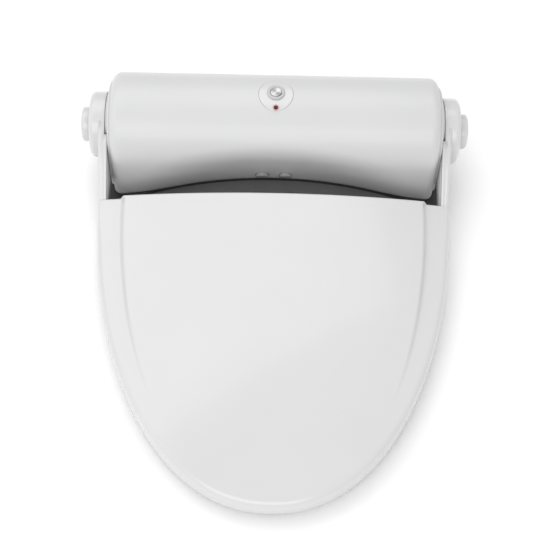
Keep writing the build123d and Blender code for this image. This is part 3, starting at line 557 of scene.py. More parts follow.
class BIDET_OT_end_covers(bpy.types.Operator):
    """End covers: a lipped plate on each end of the housing around the hinge boss"""
    bl_idname = "bidet.end_covers"
    bl_label = "End covers"

    def execute(self, context):
        radius = (END_HIGH.y - END_LOW.y) / 2 - PLATE_TRIM
        bottom = END_LOW.z - HINGE_Z
        stack = [(BODY_X - PLATE_LAP, COLLAR), (BODY_X, COLLAR), (BODY_X - 0.0004, 0.0)]
        stack += [(END_X - PLATE_EDGE + x, PLATE_EDGE - r) for r, x in arc(0, 0, PLATE_EDGE, 0, 90, 5)]
        well = ((0.030, END_X), (0.0165, END_X), (0.0160, END_X - 0.0006), (0.0160, END_X - 0.0014),
                (COLLAR, END_X - 0.0014), (COLLAR, BODY_X - PLATE_LAP))
        bearings = [math.atan2(z - HINGE_Z, y - HINGE_Y) for y, z in u_outline(0.03, bottom, PLATE_CORNER)]
        count = len(bearings)
        rows = len(stack) + len(well)
        for side, name in ((1, "right_end_cover"), (-1, "left_end_cover")):
            points = []
            for x, inset in stack:
                points += [(side * x, y, z)
                           for y, z in u_outline(radius - inset, bottom + inset, PLATE_CORNER)]
            for r, x in well:
                points += [(side * x, HINGE_Y + r * math.cos(a), HINGE_Z + r * math.sin(a)) for a in bearings]
            faces = bridge(rows, count) + wrap(0, (rows - 1) * count, count)
            piece = make_object(name + "_plate", points, faces, material("housing"), "housing")
            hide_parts(name)
        return {"FINISHED"}


# ------------------------------------------------------------------ lid
def lid_rear():
    return HINGE_Y - sizes().lid_rear


def half_width(along, inset=0.0):
    """Half-width of the lid's plan outline; along runs from 0 at the rear edge to 1 at the tip."""
    return (sizes().lid_half - inset) * (1 - np.asarray(along) ** OUTLINE_ALONG) ** OUTLINE_ACROSS


def lid_height(x, y):
    """Height of the lid's upper surface: a crown curved both ways, with a raised centre panel."""
    ahead = lid_rear() - y
    crown = CROWN - ahead * math.tan(CROWN_SLOPE) - ahead ** 2 / (2 * CROWN_LONG_R)
    crown = crown - x ** 2 / (2 * CROWN_CROSS_R)
    along = np.clip(ahead / (lid_rear() - TIP_Y), 0, 0.999)
    share = np.abs(x) / half_width(along)
    step = smoothstep(share, *STEP_AT) * (1 - smoothstep(ahead, *STEP_FADE))
    return crown - sizes().lid_step * step


def edge_radius(along):
    """Rounding of the lid's upper edge, smaller near the arms."""
    return REAR_EDGE + (sizes().lid_edge - REAR_EDGE) * smoothstep(along, 0.0, 0.18)


def side_samples():
    """Shares across the lid, closer together at the panel's step and at the edge."""
    fine = np.arange(0.80, 0.90, 0.006)
    half = np.concatenate([np.arange(0, 0.80, 0.025), fine, np.linspace(0.90, 1.0, 8)])
    return np.concatenate([-half[::-1], half[1:]])


def half_disc(u, v):
    """Place in the outline for grid coordinates u in -1..1 and v in 0..1: share across, share along."""
    x = u * np.sqrt(1 - v * v / 2)
    along = v * np.sqrt(1 - u * u / 2)
    share = x / np.sqrt(np.maximum(1 - along * along, 1e-9))
    return np.clip(share, -1, 1), along


def lid_patch(us, vs, inset, drop):
    """Grid over the plan outline moved in by inset, on the upper surface lowered by drop."""
    rows = []
    for v in vs:
        share, along = half_disc(us, np.full(len(us), v))
        side = edge_radius(along) if inset is None else np.full(len(us), inset)
        x = share * half_width(np.clip(along, 0, 0.9999), side)
        rear = lid_rear() - (REAR_EDGE if inset is None else inset)
        tip = TIP_Y + (sizes().lid_edge if inset is None else inset)
        y = rear - (rear - tip) * along
        rows.append(np.stack([x, y, lid_height(x, y) - drop], axis=1))
    return np.array(rows)


def border(rows, cols):
    """Indices of a grid's border: down the left side, along the front, up the right side, along the rear."""
    ring = [(r, 0) for r in range(rows)]
    ring += [(rows - 1, c) for c in range(1, cols)]
    ring += [(r, cols - 1) for r in range(rows - 2, -1, -1)]
    ring += [(0, c) for c in range(cols - 2, 0, -1)]
    return ring


class BIDET_OT_lid(bpy.types.Operator):
    """Lid: crowned panel with stepped sides, rounded edge, skirt and underside"""
    bl_idname = "bidet.lid"
    bl_label = "Lid"

    def execute(self, context):
        s = sizes()
        us = side_samples()
        vs = np.concatenate([[0, 0.004, 0.01], np.linspace(0.02, 1.0, 84)])
        top = lid_patch(us, vs, None, 0.0)
        rows, cols = top.shape[:2]
        ring = border(rows, cols)
        points = top.reshape(-1, 3).tolist()
        faces = grid_faces(rows, cols)
        along_ring = tuple(np.array(ring).T)
        start = top[along_ring]
        outer = lid_patch(us, vs, 0.0, 0.0)[along_ring]
        rear = np.array([r == 0 and 0 < c < cols - 1 for r, c in ring])
        radius = np.hypot(*(outer - start)[:, :2].T)
        radius = np.where([r == 0 for r, c in ring], REAR_EDGE, radius)
        foot = np.where(rear, LID_REAR_WALL, LID_BOTTOM)
        loops = [start]
        for t in np.radians([15, 30, 45, 60, 75, 90]):
            flat = start[:, :2] + (outer - start)[:, :2] * math.sin(t)
            z = start[:, 2] - radius * (1 - math.cos(t))
            loops.append(np.column_stack([flat, z]))
        below = loops[-1][:, 2]
        inward = lid_patch(us, vs, s.wall, 0.0)[along_ring]
        across = (inward - outer)[:, :2]
        under = lid_patch(us, vs, s.wall + 0.003, s.wall)
        under_ring = under[along_ring]
        ceiling = under_ring[:, 2]
        skirt = [(0.0, below + (foot + FOOT_EDGE - below) * share) for share in (0.25, 0.5, 0.75)]
        skirt += [(0.0, foot + FOOT_EDGE), (0.12, foot + 0.0002), (0.3, foot), (0.8, foot)]
        skirt += [(1.0, foot + FOOT_EDGE), (1.0, ceiling - 0.003)]
        loops += [np.column_stack([outer[:, :2] + across * share, z]) for share, z in skirt]
        loops.append(np.column_stack([inward[:, :2] * 0.7 + under_ring[:, :2] * 0.3, ceiling - 0.001]))
        loops.append(under_ring)
        faces += bridge(len(loops), len(ring), len(points))
        for loop in loops:
            points += loop.tolist()
        faces += grid_faces(rows, cols, len(points))
        points += under.reshape(-1, 3).tolist()
        piece = make_object("lid_panel", points, faces, material("lid"), "lid")
        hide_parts("lid_shell")
        return {"FINISHED"}


def unit(rows):
    """Rows scaled to length one."""
    return rows / np.linalg.norm(rows, axis=1)[:, None]


def inset_loop(loop, amount):
    """Closed outline moved inwards along its corner normals; runs anticlockwise."""
    pts = np.array(loop)
    ahead = np.roll(pts, -1, axis=0) - pts
    behind = pts - np.roll(pts, 1, axis=0)
    tangent = unit(unit(ahead) + unit(behind))
    normal = np.column_stack([-tangent[:, 1], tangent[:, 0]])
    return pts + normal * amount


def arm_outline():
    """Side view of a lid arm as (y, z) pairs: round the drum, then forward and down to the lid's side."""
    drum = arc(HINGE_Y, HINGE_Z, DRUM_R - 0.0006, -115, 118, 46)
    rear = lid_rear()
    top = [(rear + 0.045, 0.0805), (rear + 0.03, 0.0690), (rear + 0.015, 0.0570), (rear + 0.006, 0.0500),
           (rear, 0.0452), (rear - 0.006, 0.0405), (rear - 0.018, 0.0345), (ARM_END_Y + 0.004, 0.0300)]
    low = [(ARM_END_Y, 0.0270), (ARM_END_Y, 0.0210), (ARM_END_Y + 0.004, 0.0180), (rear, 0.0200),
           (rear + 0.03, 0.0225), (rear + 0.055, 0.0258)]
    return drum + top + low


def arm_face(y):
    """Outer face of the arm, which leans in a little towards the lid's side."""
    return ARM_OUT - ARM_LEAN * np.maximum(HINGE_Y - y, 0)


class BIDET_OT_arms(bpy.types.Operator):
    """Lid arms with their hub drums and the soft corner between the two"""
    bl_idname = "bidet.arms"
    bl_label = "Lid arms and drums"

    def execute(self, context):
        s = sizes()
        outline = np.array(arm_outline())
        inner = [(ARM_IN, 0.0008), (ARM_IN + 0.0003, 0.0002), (ARM_IN + 0.0009, 0.0)]
        turns = np.radians([0, 22.5, 45, 67.5, 90])
        for side, name in ((1, "right_lid_arm"), (-1, "left_lid_arm")):
            loops = []
            for x, inset in inner:
                ring = inset_loop(outline, inset)
                loops.append(np.column_stack([np.full(len(ring), x), ring]))
            for t in turns:
                ring = inset_loop(outline, ARM_EDGE * (1 - math.cos(t)))
                x = arm_face(ring[:, 0]) - ARM_EDGE + ARM_EDGE * math.sin(t)
                loops.append(np.column_stack([x, ring]))
            points = np.concatenate(loops) * (side, 1, 1)
            faces = tube(len(loops), len(outline))
            arm = make_object(name, points.tolist(), faces, material("lid"), "lid")
            edge = s.drum_edge
            profile = [(0.0, DRUM_OUT), (0.014, DRUM_OUT), (DRUM_R - edge - 0.002, DRUM_OUT)]
            profile += arc(DRUM_R - edge, DRUM_OUT - edge, edge, 90, 0, 8)
            profile += [(DRUM_R, x) for x in np.linspace(DRUM_OUT - edge, ARM_IN + 0.0006, 6)[1:]]
            profile += [(DRUM_R - 0.0002, ARM_IN + 0.0002), (DRUM_R - 0.0008, ARM_IN), (0.0, ARM_IN)]
            points, faces = lathe(profile, side)
            drum = make_object(name.replace("arm", "drum"), points, faces, material("lid"), "lid")
            points, faces = self.cove(side)
            cove = make_object(name.replace("arm", "drum_cove"), points, faces, material("lid"), "lid")
            points, faces = self.flange(side)
            flange = make_object(name.replace("arm", "arm_flange"), points, faces, material("lid"), "lid")
            for piece in (arm, drum, cove, flange):
                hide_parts("lid_shell")
        return {"FINISHED"}

    @staticmethod
    def flange(side):
        """Lip along the arm's upper edge that reaches in over the seat's arm."""
        rear = lid_rear()
        path = np.array([(rear + 0.0558, 0.0856), (rear + 0.045, 0.0804), (rear + 0.03, 0.0689),
                         (rear + 0.015, 0.0569), (rear + 0.006, 0.0499), (rear, 0.0451),
                         (rear - 0.006, 0.0404)])
        ahead = unit(np.gradient(path, axis=0))
        up = np.column_stack([ahead[:, 1], -ahead[:, 0]])
        section = ((0.1840, 0.0), (0.1796, 0.0), (0.1790, -0.0002), (0.1788, -0.0008), (0.1788, -0.0030),
                   (0.1792, -0.0035), (0.1840, -0.0035))
        points = []
        for at, rise in zip(path, up):
            points += [(side * x, *(at + rise * lift)) for x, lift in section]
        return points, tube(len(path), len(section))

    @staticmethod
    def cove(side):
        """Hollow fillet in the corner between drum and arm, fading out at both ends."""
        points = []
        spread = np.radians(np.linspace(124, 240, 60))
        for a in spread:
            share = math.sin(math.pi * (a - spread[0]) / (spread[-1] - spread[0])) ** 0.6
            size = 0.0001 + 0.0036 * share
            y0 = HINGE_Y + DRUM_R * math.cos(a)
            base = float(arm_face(y0)) - 0.0001
            section = arc(DRUM_R + size, base + size, size + 0.0001, 180, 270, 7)
            section += [(DRUM_R + size, base - 0.002), (DRUM_R - 0.002, base - 0.002),
                        (DRUM_R - 0.002, base + size)]
            points += [(side * x, HINGE_Y + r * math.cos(a), HINGE_Z + r * math.sin(a)) for r, x in section]
        return points, tube(len(spread), len(section))


def seat_arm_outline():
    """Side view of a seat arm: round hub, then forward and down to the rear corner of the ring."""
    rear = lid_rear()
    hub = arc(HINGE_Y, HINGE_Z, DRUM_R - 0.0003, -118, 152, 56)
    top = [(rear + 0.045, 0.0655), (rear + 0.03, 0.0545), (rear + 0.015, 0.0425), (rear + 0.004, 0.0345),
           (rear - 0.006, 0.0290), (rear - 0.018, 0.0250), (ARM_END_Y, 0.0225),
           (SEAT_ARM_END_Y, 0.0215)]
    low = [(SEAT_ARM_END_Y, 0.0068), (0.0545, 0.0060), (rear - 0.004, 0.0060), (rear + 0.004, 0.0095),
           (rear + 0.030, 0.0245), (rear + 0.050, 0.0300)]
    return hub + top + low


class BIDET_OT_seat_arms(bpy.types.Operator):
    """Seat arms: flat plates between the end covers and the lid's arms"""
    bl_idname = "bidet.seat_arms"
    bl_label = "Seat arms"

    def execute(self, context):
        outline = np.array(seat_arm_outline())
        outer = ARMS_HIGH.x
        inner = outer - SEAT_ARM
        edge = SEAT_ARM_EDGE
        stack = ((inner, edge), (inner + edge, 0.0), (outer - edge, 0.0), (outer, edge))
        for side, name in ((1, "right_seat_arm"), (-1, "left_seat_arm")):
            loops = []
            for x, inset in stack:
                ring = inset_loop(outline, inset)
                loops.append(np.column_stack([np.full(len(ring), side * x), ring]))
            faces = tube(len(stack), len(outline))
            piece = make_object(name, np.concatenate(loops).tolist(), faces, material("seat"), "seat")
            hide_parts("seat_hinge_arms")
        return {"FINISHED"}


class BIDET_OT_caps(bpy.types.Operator):
    """Hinge caps: small rounded discs on the hub drums"""
    bl_idname = "bidet.caps"
    bl_label = "Hinge caps"

    def execute(self, context):
        radius = (CAP_HIGH.y - CAP_LOW.y) / 2
        edge = sizes().cap_edge
        profile = [(0.0, CAP_OUT), (radius * 0.45, CAP_OUT - 0.00005),
                   (radius - edge - 0.0015, CAP_OUT - 0.0002)]
        profile += arc(radius - edge, CAP_OUT - 0.0002 - edge, edge, 90, 0, 8)
        profile += [(radius, DRUM_OUT + 0.0040), (radius, DRUM_OUT + 0.0006)]
        profile += [(radius - 0.0006, DRUM_OUT + x) for x in (0.0002, -0.0005)] + [(0.0, DRUM_OUT - 0.0005)]
        for side, name in ((1, "right_hinge_cap"), (-1, "left_hinge_cap")):
            points, faces = lathe(profile, side, 96)
            piece = make_object(name + "_disc", points, faces, material("lid"), "lid")
            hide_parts(name)
        return {"FINISHED"}


# ------------------------------------------------------------------ button group
class BIDET_OT_button(bpy.types.Operator):
    """Button insert, bezel, push button and indicator window"""
    bl_idname = "bidet.button"
    bl_label = "Button group"

    def execute(self, context):
        self.insert()
        self.bezel()
        self.push_button()
        self.window()
        return {"FINISHED"}

    @staticmethod
    def insert():
        steps = 96
        rings = [(INSERT_A * (1 - share), INSERT_B * (1 - share), 0.0003)
                 for share in (0.0, 0.25, 0.5, 0.7, 0.85, 0.94)]
        rings += [(inset, inset, lift) for inset, lift in (
            (0.0006, 0.0003), (0.0003, 0.00022), (0.0001, 0.00005), (0.0, -0.0003),
            (0.0, -0.0015), (0.004, -0.0015), (INSERT_A - 0.0001, -0.0015))]
        points = [on_top((INSERT_A - a) * c, INSERT_Y + (INSERT_B - b) * s, lift)
                  for a, b, lift in rings for c, s in circle(steps)]
        piece = make_object("button_insert", points, bridge(len(rings), steps), material("insert"), "housing")
        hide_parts("button_plate")

    @staticmethod
    def bezel():
        radius = (RING_HIGH.x - RING_LOW.x) / 2
        top = RING_HIGH.z
        profile = [(0.0063, TOP_Z - 0.007), (0.0063, top - 0.0009)]
        profile += arc(0.0069, top - 0.0008, 0.0006, 180, 90, 4)
        profile += arc(radius - 0.0014, top - 0.0016, 0.0014, 75, 0, 6)
        profile += [(radius, TOP_Z - 0.0004), (radius - 0.0008, TOP_Z - 0.0004),
                    (radius - 0.0008, TOP_Z - 0.007), (0.0063, TOP_Z - 0.007)]
        points, faces = lathe_z(profile, (0, HINGE_Y))
        piece = make_object("button_bezel", points, faces, material("bezel"), "housing")
        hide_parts("button_ring")

    @staticmethod
    def push_button():
        low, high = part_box("push_button")
        top = high.z
        radius = (high.x - low.x) / 2
        profile = [(0.0, top - 0.00035), (0.0020, top - 0.0003), (0.0040, top - 0.00012)]
        profile += arc(radius - 0.0007, top - 0.0006, 0.0006, 90, 0, 5)
        profile += [(radius, TOP_Z - 0.0014), (0.0025, TOP_Z - 0.0015), (0.0025, low.z), (0.0, low.z)]
        points, faces = lathe_z(profile, (0, HINGE_Y))
        piece = make_object("push_button_face", points, faces, material("button"), "button")
        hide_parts("push_button")

    @staticmethod
    def window():
        low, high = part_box("indicator_lens")
        middle = (low + high) / 2
        lean = math.atan2(HINGE_Y - middle.y, middle.z - HINGE_Z)
        tilt = Matrix.Translation((0, HINGE_Y, HINGE_Z)) @ Matrix.Rotation(lean, 4, "X")
        shapes = {
            "indicator_window": (
                [(0.0, 0.0579), (0.0013, 0.0578), (0.0020, 0.0576), (0.0023, 0.0573),
                 (0.0024, 0.0569), (0.0024, 0.0506), (0.0, 0.0506)], "window", "lens_red"),
            "indicator_surround": (
                [(0.0024, 0.0568), (0.0024, 0.0575), (0.0027, 0.05765), (0.0033, 0.05755),
                 (0.0036, 0.0573), (0.0036, 0.0566), (0.0024, 0.0566)], "surround", "lens_red"),
        }
        for name, (profile, finish_name, slot) in shapes.items():
            points, faces = lathe_z(profile, (0, 0), 48)
            points = [tuple(tilt @ Vector(p)) for p in points]
            piece = make_object(name, points, faces, material(finish_name), "housing")
            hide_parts("indicator_lens")


# ------------------------------------------------------------------ seat
class BIDET_OT_seat(bpy.types.Operator):
    """Seat ring: comfortable crowned section swept round the opening"""
    bl_idname = "bidet.seat"
    bl_label = "Seat ring"

    def execute(self, context):
        half = (SEAT_HIGH.x - SEAT_LOW.x) / 2
        rear = SEAT_HIGH.y
        tip = SEAT_LOW.y
        steps = 220
        mid = sum(OPENING_Y) / 2
        long = (OPENING_Y[1] - OPENING_Y[0]) / 2
        low = SEAT_LOW.z
        high = SEAT_HIGH.z
        foil_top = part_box("seat_heater_foil")[1].z + 0.0004
        shoulder = max(high - 0.0040, foil_top)
        section = [(0.0, low), (0.0, high - 0.009), (0.004, high - 0.0065), (0.012, high - 0.004),
                   (0.03, high - 0.0022), (0.08, high - 0.0010), (0.2, high - 0.0003), (0.4, high - 0.0003),
                   (0.6, high - 0.0010), (0.78, high - 0.0018), (0.92, shoulder), (0.97, shoulder - 0.0016),
                   (1.0, shoulder - 0.0050), (1.0, low)]
        spokes = []
        for i in range(steps):
            a = FULL * i / steps
            inner = Vector((OPENING_HALF * math.cos(a), mid + long * math.sin(a), 0))
            spokes.append((self.outer_point(a, half, rear, tip, mid), inner))
        points = []
        for share, z in section:
            points += [outer.lerp(inner, share) + Vector((0, 0, z)) for outer, inner in spokes]
        rows = len(section)
        faces = bridge(rows, steps) + wrap(0, (rows - 1) * steps, steps)
        piece = make_object("seat_ring_shell", points, faces, material("seat"), "seat")
        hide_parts("seat_ring_top")
        return {"FINISHED"}

    @staticmethod
    def outer_point(a, half, rear, tip, mid):
        """Where a ray from the opening's middle meets the plan outline."""
        dx, dy = math.cos(a), math.sin(a)
        near, far = 0.0, 0.5
        for _ in range(40):
            r = (near + far) / 2
            x, y = r * dx, mid + r * dy
            along = (rear - y) / (rear - tip)
            width = half * (1 - min(max(along, 0), 1) ** OUTLINE_ALONG) ** OUTLINE_ACROSS
            inside = 0 <= along < 1 and abs(x) < width
            near, far = (r, far) if inside else (near, r)
        return Vector((near * dx, mid + near * dy, 0))


# ------------------------------------------------------------------ screws
def islands(node):
    """Boxes of the separate bits of a carried-over node, as (lowest, highest) corners."""
    work = bmesh.new()
    work.from_mesh(frame["nodes"][node].data)
    bmesh.ops.remove_doubles(work, verts=work.verts, dist=1e-6)
    left = set(work.verts)
    boxes = []
    while left:
        reach = [left.pop()]
        found = []
        while reach:
            vert = reach.pop()
            found.append(vert.co.copy())
            for edge in vert.link_edges:
                other = edge.other_vert(vert)
                if other in left:
                    left.remove(other)
                    reach.append(other)
        co = np.array(found)
        boxes.append((Vector(co.min(0)), Vector(co.max(0))))
    work.free()
    return sorted(boxes, key=lambda box: tuple(round(c, 5) for c in box[0]))


def screw_template(length):
    """Pan-head screw pointing up from its head's lower face at the origin, with a cross recess."""
    profile = [(0.0, 0.0009), (0.0011, 0.0006), (0.0013, 0.0), (HEAD_R - 0.0007, 0.0)]
    profile += [(HEAD_R - 0.0002, 0.0003), (HEAD_R, 0.0009), (HEAD_R, HEAD_TALL), (SHANK_R, HEAD_TALL)]
    for k in range(int((length - HEAD_TALL - 0.001) / THREAD)):
        z = HEAD_TALL + THREAD * k
        profile += [(SHANK_R - 0.0003, z + THREAD * 0.3), (SHANK_R, z + THREAD * 0.7)]
    profile += [(0.0004, length), (0.0, length)]
    steps = 24
    points = []
    for radius, z in profile:
        for i, (c, s) in enumerate(circle(steps)):
            in_cross = radius < 0.0014 and z < 0.0007 and i % 6 in (0, 1, 5)
            points.append((radius * c, radius * s, z + (CROSS_DEEP if in_cross else 0.0)))
    mesh = bpy.data.meshes.new("screw template")
    mesh.from_pydata(points, [], bridge(len(profile), steps))
    work = bmesh.new()
    work.from_mesh(mesh)
    bmesh.ops.remove_doubles(work, verts=work.verts, dist=1e-6)
    bmesh.ops.recalc_face_normals(work, faces=work.faces)
    work.to_mesh(mesh)
    work.free()
    template = bpy.data.objects.new("screw template", mesh)
    bpy.context.scene.collection.objects.link(template)
    return template


def scatter_tree():
    """Geometry nodes that put a fastener on every point, each turned by its own amount."""
    tree = bpy.data.node_groups.new("Fasteners on points", "GeometryNodeTree")
    for label, kind, default in (("Geometry", "Geometry", None), ("Fastener", "Object", None),
                                 ("Finish", "Material", None), ("Turn", "Float", math.pi / 2),
                                 ("Seed", "Int", SCREW_SEED)):
        item = tree.interface.new_socket(name=label, in_out="INPUT", socket_type="NodeSocket" + kind)
        if default is not None:
            item.default_value = default
    tree.interface.new_socket(name="Geometry", in_out="OUTPUT", socket_type="NodeSocketGeometry")
    inp = add_node(tree, "NodeGroupInput")
    out = add_node(tree, "NodeGroupOutput")
    points = add_node(tree, "GeometryNodeMeshToPoints")
    info = add_node(tree, "GeometryNodeObjectInfo")
    turn = add_node(tree, "FunctionNodeRandomValue", data_type="FLOAT")
    angles = add_node(tree, "ShaderNodeCombineXYZ")
    spin = add_node(tree, "FunctionNodeEulerToRotation")
    place = add_node(tree, "GeometryNodeInstanceOnPoints")
    real = add_node(tree, "GeometryNodeRealizeInstances")
    coat = add_node(tree, "GeometryNodeSetMaterial")
    low, high = [i for i in turn.inputs if i.type == "VALUE"][:2]
    low.default_value = 0.0
    wire(tree, (inp.outputs["Geometry"], points.inputs["Mesh"]),
         (inp.outputs["Fastener"], info.inputs["Object"]),
         (inp.outputs["Turn"], high),
         (inp.outputs["Seed"], turn.inputs["Seed"]),
         (next(o for o in turn.outputs if o.type == "VALUE"), angles.inputs["Z"]),
         (angles, spin.inputs[0]),
         (points, place.inputs["Points"]),
         (info.outputs["Geometry"], place.inputs["Instance"]),
         (spin, place.inputs["Rotation"]),
         (place, real.inputs[0]),
         (real, coat.inputs["Geometry"]),
         (inp.outputs["Finish"], coat.inputs["Material"]),
         (coat, out.inputs["Geometry"]))
    return tree


class BIDET_OT_screws(bpy.types.Operator):
    """Cross-recessed screws of the housing and the seat, set by geometry nodes"""
    bl_idname = "bidet.screws"
    bl_label = "Screws"

    def execute(self, context):
        tree = scatter_tree()
        sockets = {item.name: item.identifier for item in tree.interface.items_tree
                   if item.item_type == "SOCKET" and item.in_out == "INPUT"}
        for node, body in (("cover_screws", "housing"), ("seat_screws", "seat")):
            boxes = islands(node)
            upright = [(low, high) for low, high in boxes if high.z - low.z > UPRIGHT]
            flush = [(low, high) for low, high in boxes if high.z - low.z <= UPRIGHT]
            places = [((low.x + high.x) / 2, (low.y + high.y) / 2, low.z) for low, high in upright]
            template = screw_template(upright[0][1].z - upright[0][0].z)
            cloud = bpy.data.meshes.new("screw places")
            cloud.from_pydata(places, [], [])
            holder = bpy.data.objects.new("screw places", cloud)
            context.scene.collection.objects.link(holder)
            nodes = holder.modifiers.new("Fasteners", "NODES")
            nodes.node_group = tree
            nodes[sockets["Fastener"]] = template
            nodes[sockets["Finish"]] = material("steel")
            nodes[sockets["Turn"]] = math.pi / 2
            nodes[sockets["Seed"]] = SCREW_SEED
            shape = bpy.data.meshes.new_from_object(holder.evaluated_get(context.evaluated_depsgraph_get()))
            shape.polygons.foreach_set("use_smooth", [False] * len(shape.polygons))
            piece = bpy.data.objects.new(node + "_set", shape)
            context.scene.collection.objects.link(piece)
            for spare in (holder, template):
                bpy.data.objects.remove(spare)
            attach(piece, body)
            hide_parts(node)
            if flush:
                self.flush_screws(flush, node, body)
        return {"FINISHED"}

    @staticmethod
    def flush_screws(boxes, node, body):
        """Slotless flush screws lying along X, outer face at the larger |x|."""
        points, faces = [], []
        for low, high in boxes:
            radius = (high.z - low.z) / 2
            side = 1 if low.x > 0 else -1
            outer, inner = (high.x, low.x) if side > 0 else (-low.x, -high.x)
            profile = [(0.0, outer - 0.0009), (radius * 0.45, outer - 0.0009), (radius * 0.5, outer - 0.0001),
                       (radius * 0.9, outer - 0.0001), (radius, outer - 0.0004), (radius, inner),
                       (0.0, inner)]
            steps = 24
            faces += bridge(len(profile), steps, len(points))
            points += lathe(profile, side, steps, ((low.y + high.y) / 2, (low.z + high.z) / 2))[0]
        piece = make_object(node + "_flush", points, faces, material("steel"), body)
        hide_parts(node)


# ------------------------------------------------------------------ finishes of the carried-over nodes
CAD_FINISH = {
    "tray": ("base_tray",),
    "plate": ("mounting_plate",),
    "nylon": ("release_latch", "heater_tank", "heater_tank_lid", "inlet_valve",
              "diverter_valve", "nozzle_guide"),
    "acetal": ("bolt_bushings", "rear_nozzle_wand", "front_nozzle_wand", "rear_nozzle_pinion",
               "front_nozzle_pinion", "inlet_strainer", "indicator_led"),
    "gate": ("rear_nozzle_shield", "front_nozzle_shield"),
    "steel": ("latch_spring", "right_hinge_pin", "left_hinge_pin", "button_spring",
              "board_screws", "heating_element", "diverter_motor", "rear_nozzle_motor",
              "front_nozzle_motor"),
    "black": ("seat_damper", "lid_damper", "button_switch", "board_chips", "power_transformer",
              "power_capacitors", "power_relays", "valve_coil"),
    "board": ("control_board", "power_board"),
    "rubber": ("housing_feet", "seat_bumpers", "lid_bumpers", "cord_grommet"),
    "hose": ("inlet_hose", "heater_hose", "nozzle_hoses"),
    "brass": ("water_inlet",),
    "copper": ("seat_heater_foil",),
    "seat": ("seat_ring_bottom",),
}


def material(name):
    return bpy.data.materials[name]


class BIDET_OT_finishes(bpy.types.Operator):
    """Makes every material and gives the carried-over nodes theirs"""
    bl_idname = "bidet.finishes"
    bl_label = "Finishes"

    def execute(self, context):
        f = finish()
        plastic("housing", f.housing, 0.36, coat=0.12)
        # Painted light: the insert is a touch lighter than the housing, standing in for the brighter light it
        # catches near the button.
        plastic("insert", [c * 1.02 for c in f.housing], 0.2, coat=0.5)
        plastic("bezel", (0.45, 0.45, 0.455), 0.2, coat=0.6)
        plastic("lid", f.lid, 0.22, coat=0.4)
        plastic("seat", f.seat, 0.24, coat=0.3)
        # Painted shade: the tray is near-black and the plate dark grey so that the deep gap behind the lid's
        # rear edge and the corners under the seat arms look dark; a dark base is also a guess at the real
        # parts.
        plastic("tray", (0.05, 0.05, 0.052), 0.5, peel=500, peel_depth=0.1)
        plastic("plate", (0.19, 0.19, 0.193), 0.5, peel=500, peel_depth=0.1)
        # Painted shade: the nozzle shields are mid grey so that they sit dark in the shaded scoop instead of
        # showing as lit spots.
        plastic("gate", (0.38, 0.38, 0.385), 0.4)
        plastic("nylon", (0.66, 0.66, 0.63), 0.5, peel=420, peel_depth=0.15, drift=0.08)
        plastic("acetal", (0.74, 0.74, 0.72), 0.35, peel=600, peel_depth=0.06)
        plastic("black", (0.02, 0.02, 0.022), 0.45, peel=700, peel_depth=0.15)
        plastic("board", (0.02, 0.16, 0.07), 0.38, peel=300, peel_depth=0.2, drift=0.2)
        plastic("rubber", (0.25, 0.25, 0.26), 0.75, peel=350, peel_depth=0.35, drift=0.12)
        plastic("hose", (0.62, 0.64, 0.62), 0.3, peel=200, peel_depth=0.05)
        plastic("window", f.window, 0.3, peel_depth=0.0)
        plastic("surround", (0.56, 0.36, 0.37), 0.35)
        spun_metal_painted_reflection("button", f.metal, 0.42, (0, HINGE_Y, TOP_Z))
        metal("steel", (0.55, 0.55, 0.56), 0.32, streak=(0.1, 1, 1))
        metal("brass", (0.72, 0.52, 0.24), 0.28, streak=(1, 1, 0.1))
        metal("copper", (0.72, 0.38, 0.22), 0.35)
        for name, nodes in CAD_FINISH.items():
            for node in nodes:
                for slot in frame["nodes"][node].material_slots:
                    slot.material = material(name)
        return {"FINISHED"}


# ------------------------------------------------------------------ stage
def area_light(name, place, size, power):
    """Rectangular lamp that faces the seat."""
    data = bpy.data.lights.new(name, "AREA")
    data.shape = "RECTANGLE"
    data.size, data.size_y = size
    data.energy = power
    lamp = bpy.data.objects.new(name, data)
    bpy.context.scene.collection.objects.link(lamp)
    lamp.location = place
    lamp.rotation_mode = "QUATERNION"
    lamp.rotation_quaternion = (Vector(LIT_POINT) - Vector(place)).to_track_quat("-Z", "Y")


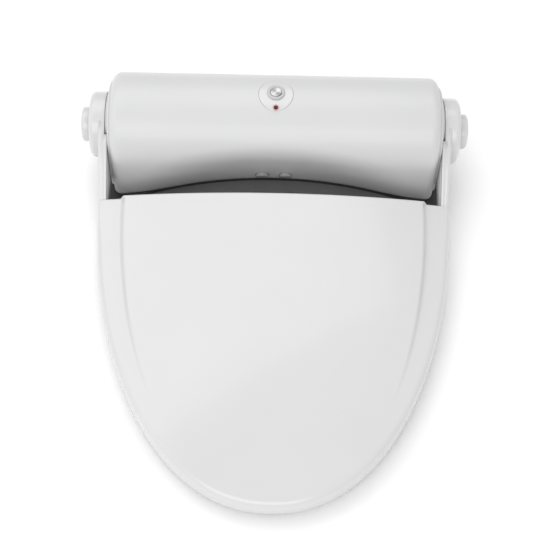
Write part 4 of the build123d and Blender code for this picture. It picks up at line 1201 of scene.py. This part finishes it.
class BIDET_OT_stage(bpy.types.Operator):
    """Camera, floor, studio light and background"""
    bl_idname = "bidet.stage"
    bl_label = "Stage"

    def execute(self, context):
        scene = context.scene
        scene.view_settings.view_transform = "Standard"
        elevation, turn, roll = CAMERA_ANGLES
        back = Vector((math.sin(turn) * math.cos(elevation), -math.cos(turn) * math.cos(elevation),
                       math.sin(elevation)))
        right = Vector((math.cos(turn), math.sin(turn), 0))
        up = back.cross(right)
        across = right * math.cos(roll) + up * math.sin(roll)
        above = up * math.cos(roll) - right * math.sin(roll)
        data = bpy.data.cameras.new("camera")
        data.sensor_width = SENSOR
        data.lens = LENS
        camera = bpy.data.objects.new("camera", data)
        scene.collection.objects.link(camera)
        turn_to = Matrix((across, above, back)).transposed().to_4x4()
        camera.matrix_world = Matrix.Translation(Vector(CAMERA_TARGET) + back * CAMERA_AWAY) @ turn_to
        scene.camera = camera

        bpy.ops.mesh.primitive_plane_add(size=FLOOR)
        floor = context.object
        floor.name = "floor"
        pale = finish().floor
        tree, shader = new_material("floor")
        place = add_node(tree, "ShaderNodeTexCoord")
        grain = add_node(tree, "ShaderNodeTexNoise", {"Scale": 3.0})
        mix = add_node(tree, "ShaderNodeMix", {6: (*[c * 0.99 for c in pale], 1), 7: (*pale, 1)},
                       data_type="RGBA")
        wire(tree, (place.outputs["Object"], grain.inputs["Vector"]),
             (grain.outputs["Fac"], mix.inputs[0]),
             (mix.outputs[2], shader.inputs["Base Color"]))
        shader.inputs["Roughness"].default_value = 0.9
        shader.inputs["Specular IOR Level"].default_value = 0.1
        floor.data.materials.append(material("floor"))

        world = bpy.data.worlds.new("studio")
        world.use_nodes = True
        sky = world.node_tree.nodes["Background"]
        sky.inputs["Color"].default_value = (1, 1, 1, 1)
        sky.inputs["Strength"].default_value = SKY
        scene.world = world
        for name, place, size, power in LAMPS:
            area_light(name, place, size, power)
        return {"FINISHED"}


class BIDET_PT_panel(bpy.types.Panel):
    """Buttons and values of the bidet seat"""
    bl_idname = "BIDET_PT_panel"
    bl_label = "Bidet seat"
    bl_space_type = "VIEW_3D"
    bl_region_type = "UI"
    bl_category = "Bidet seat"

    def draw(self, context):
        for group in (context.scene.bidet_sizes, context.scene.bidet_finish):
            for key in group.bl_rna.properties.keys():
                if key not in ("rna_type", "name"):
                    self.layout.prop(group, key)
        for operator in OPERATORS:
            self.layout.operator(operator.bl_idname)


OPERATORS = (BIDET_OT_finishes, BIDET_OT_housing, BIDET_OT_end_covers, BIDET_OT_lid, BIDET_OT_arms,
             BIDET_OT_seat_arms, BIDET_OT_caps, BIDET_OT_button, BIDET_OT_seat, BIDET_OT_screws,
             BIDET_OT_stage)
CLASSES = (BidetSizes, BidetFinish) + OPERATORS + (BIDET_PT_panel,)


def register():
    for cls in CLASSES:
        bpy.utils.register_class(cls)
    bpy.types.Scene.bidet_sizes = PointerProperty(type=BidetSizes)
    bpy.types.Scene.bidet_finish = PointerProperty(type=BidetFinish)


def unregister():
    del bpy.types.Scene.bidet_finish
    del bpy.types.Scene.bidet_sizes
    for cls in reversed(CLASSES):
        bpy.utils.unregister_class(cls)


def main():
    register()
    bpy.ops.bidet.finishes()
    bpy.ops.bidet.housing()
    bpy.ops.bidet.end_covers()
    bpy.ops.bidet.lid()
    bpy.ops.bidet.arms()
    bpy.ops.bidet.seat_arms()
    bpy.ops.bidet.caps()
    bpy.ops.bidet.button()
    bpy.ops.bidet.seat()
    bpy.ops.bidet.screws()
    bpy.ops.bidet.stage()


if __name__ == "__main__":
    main()
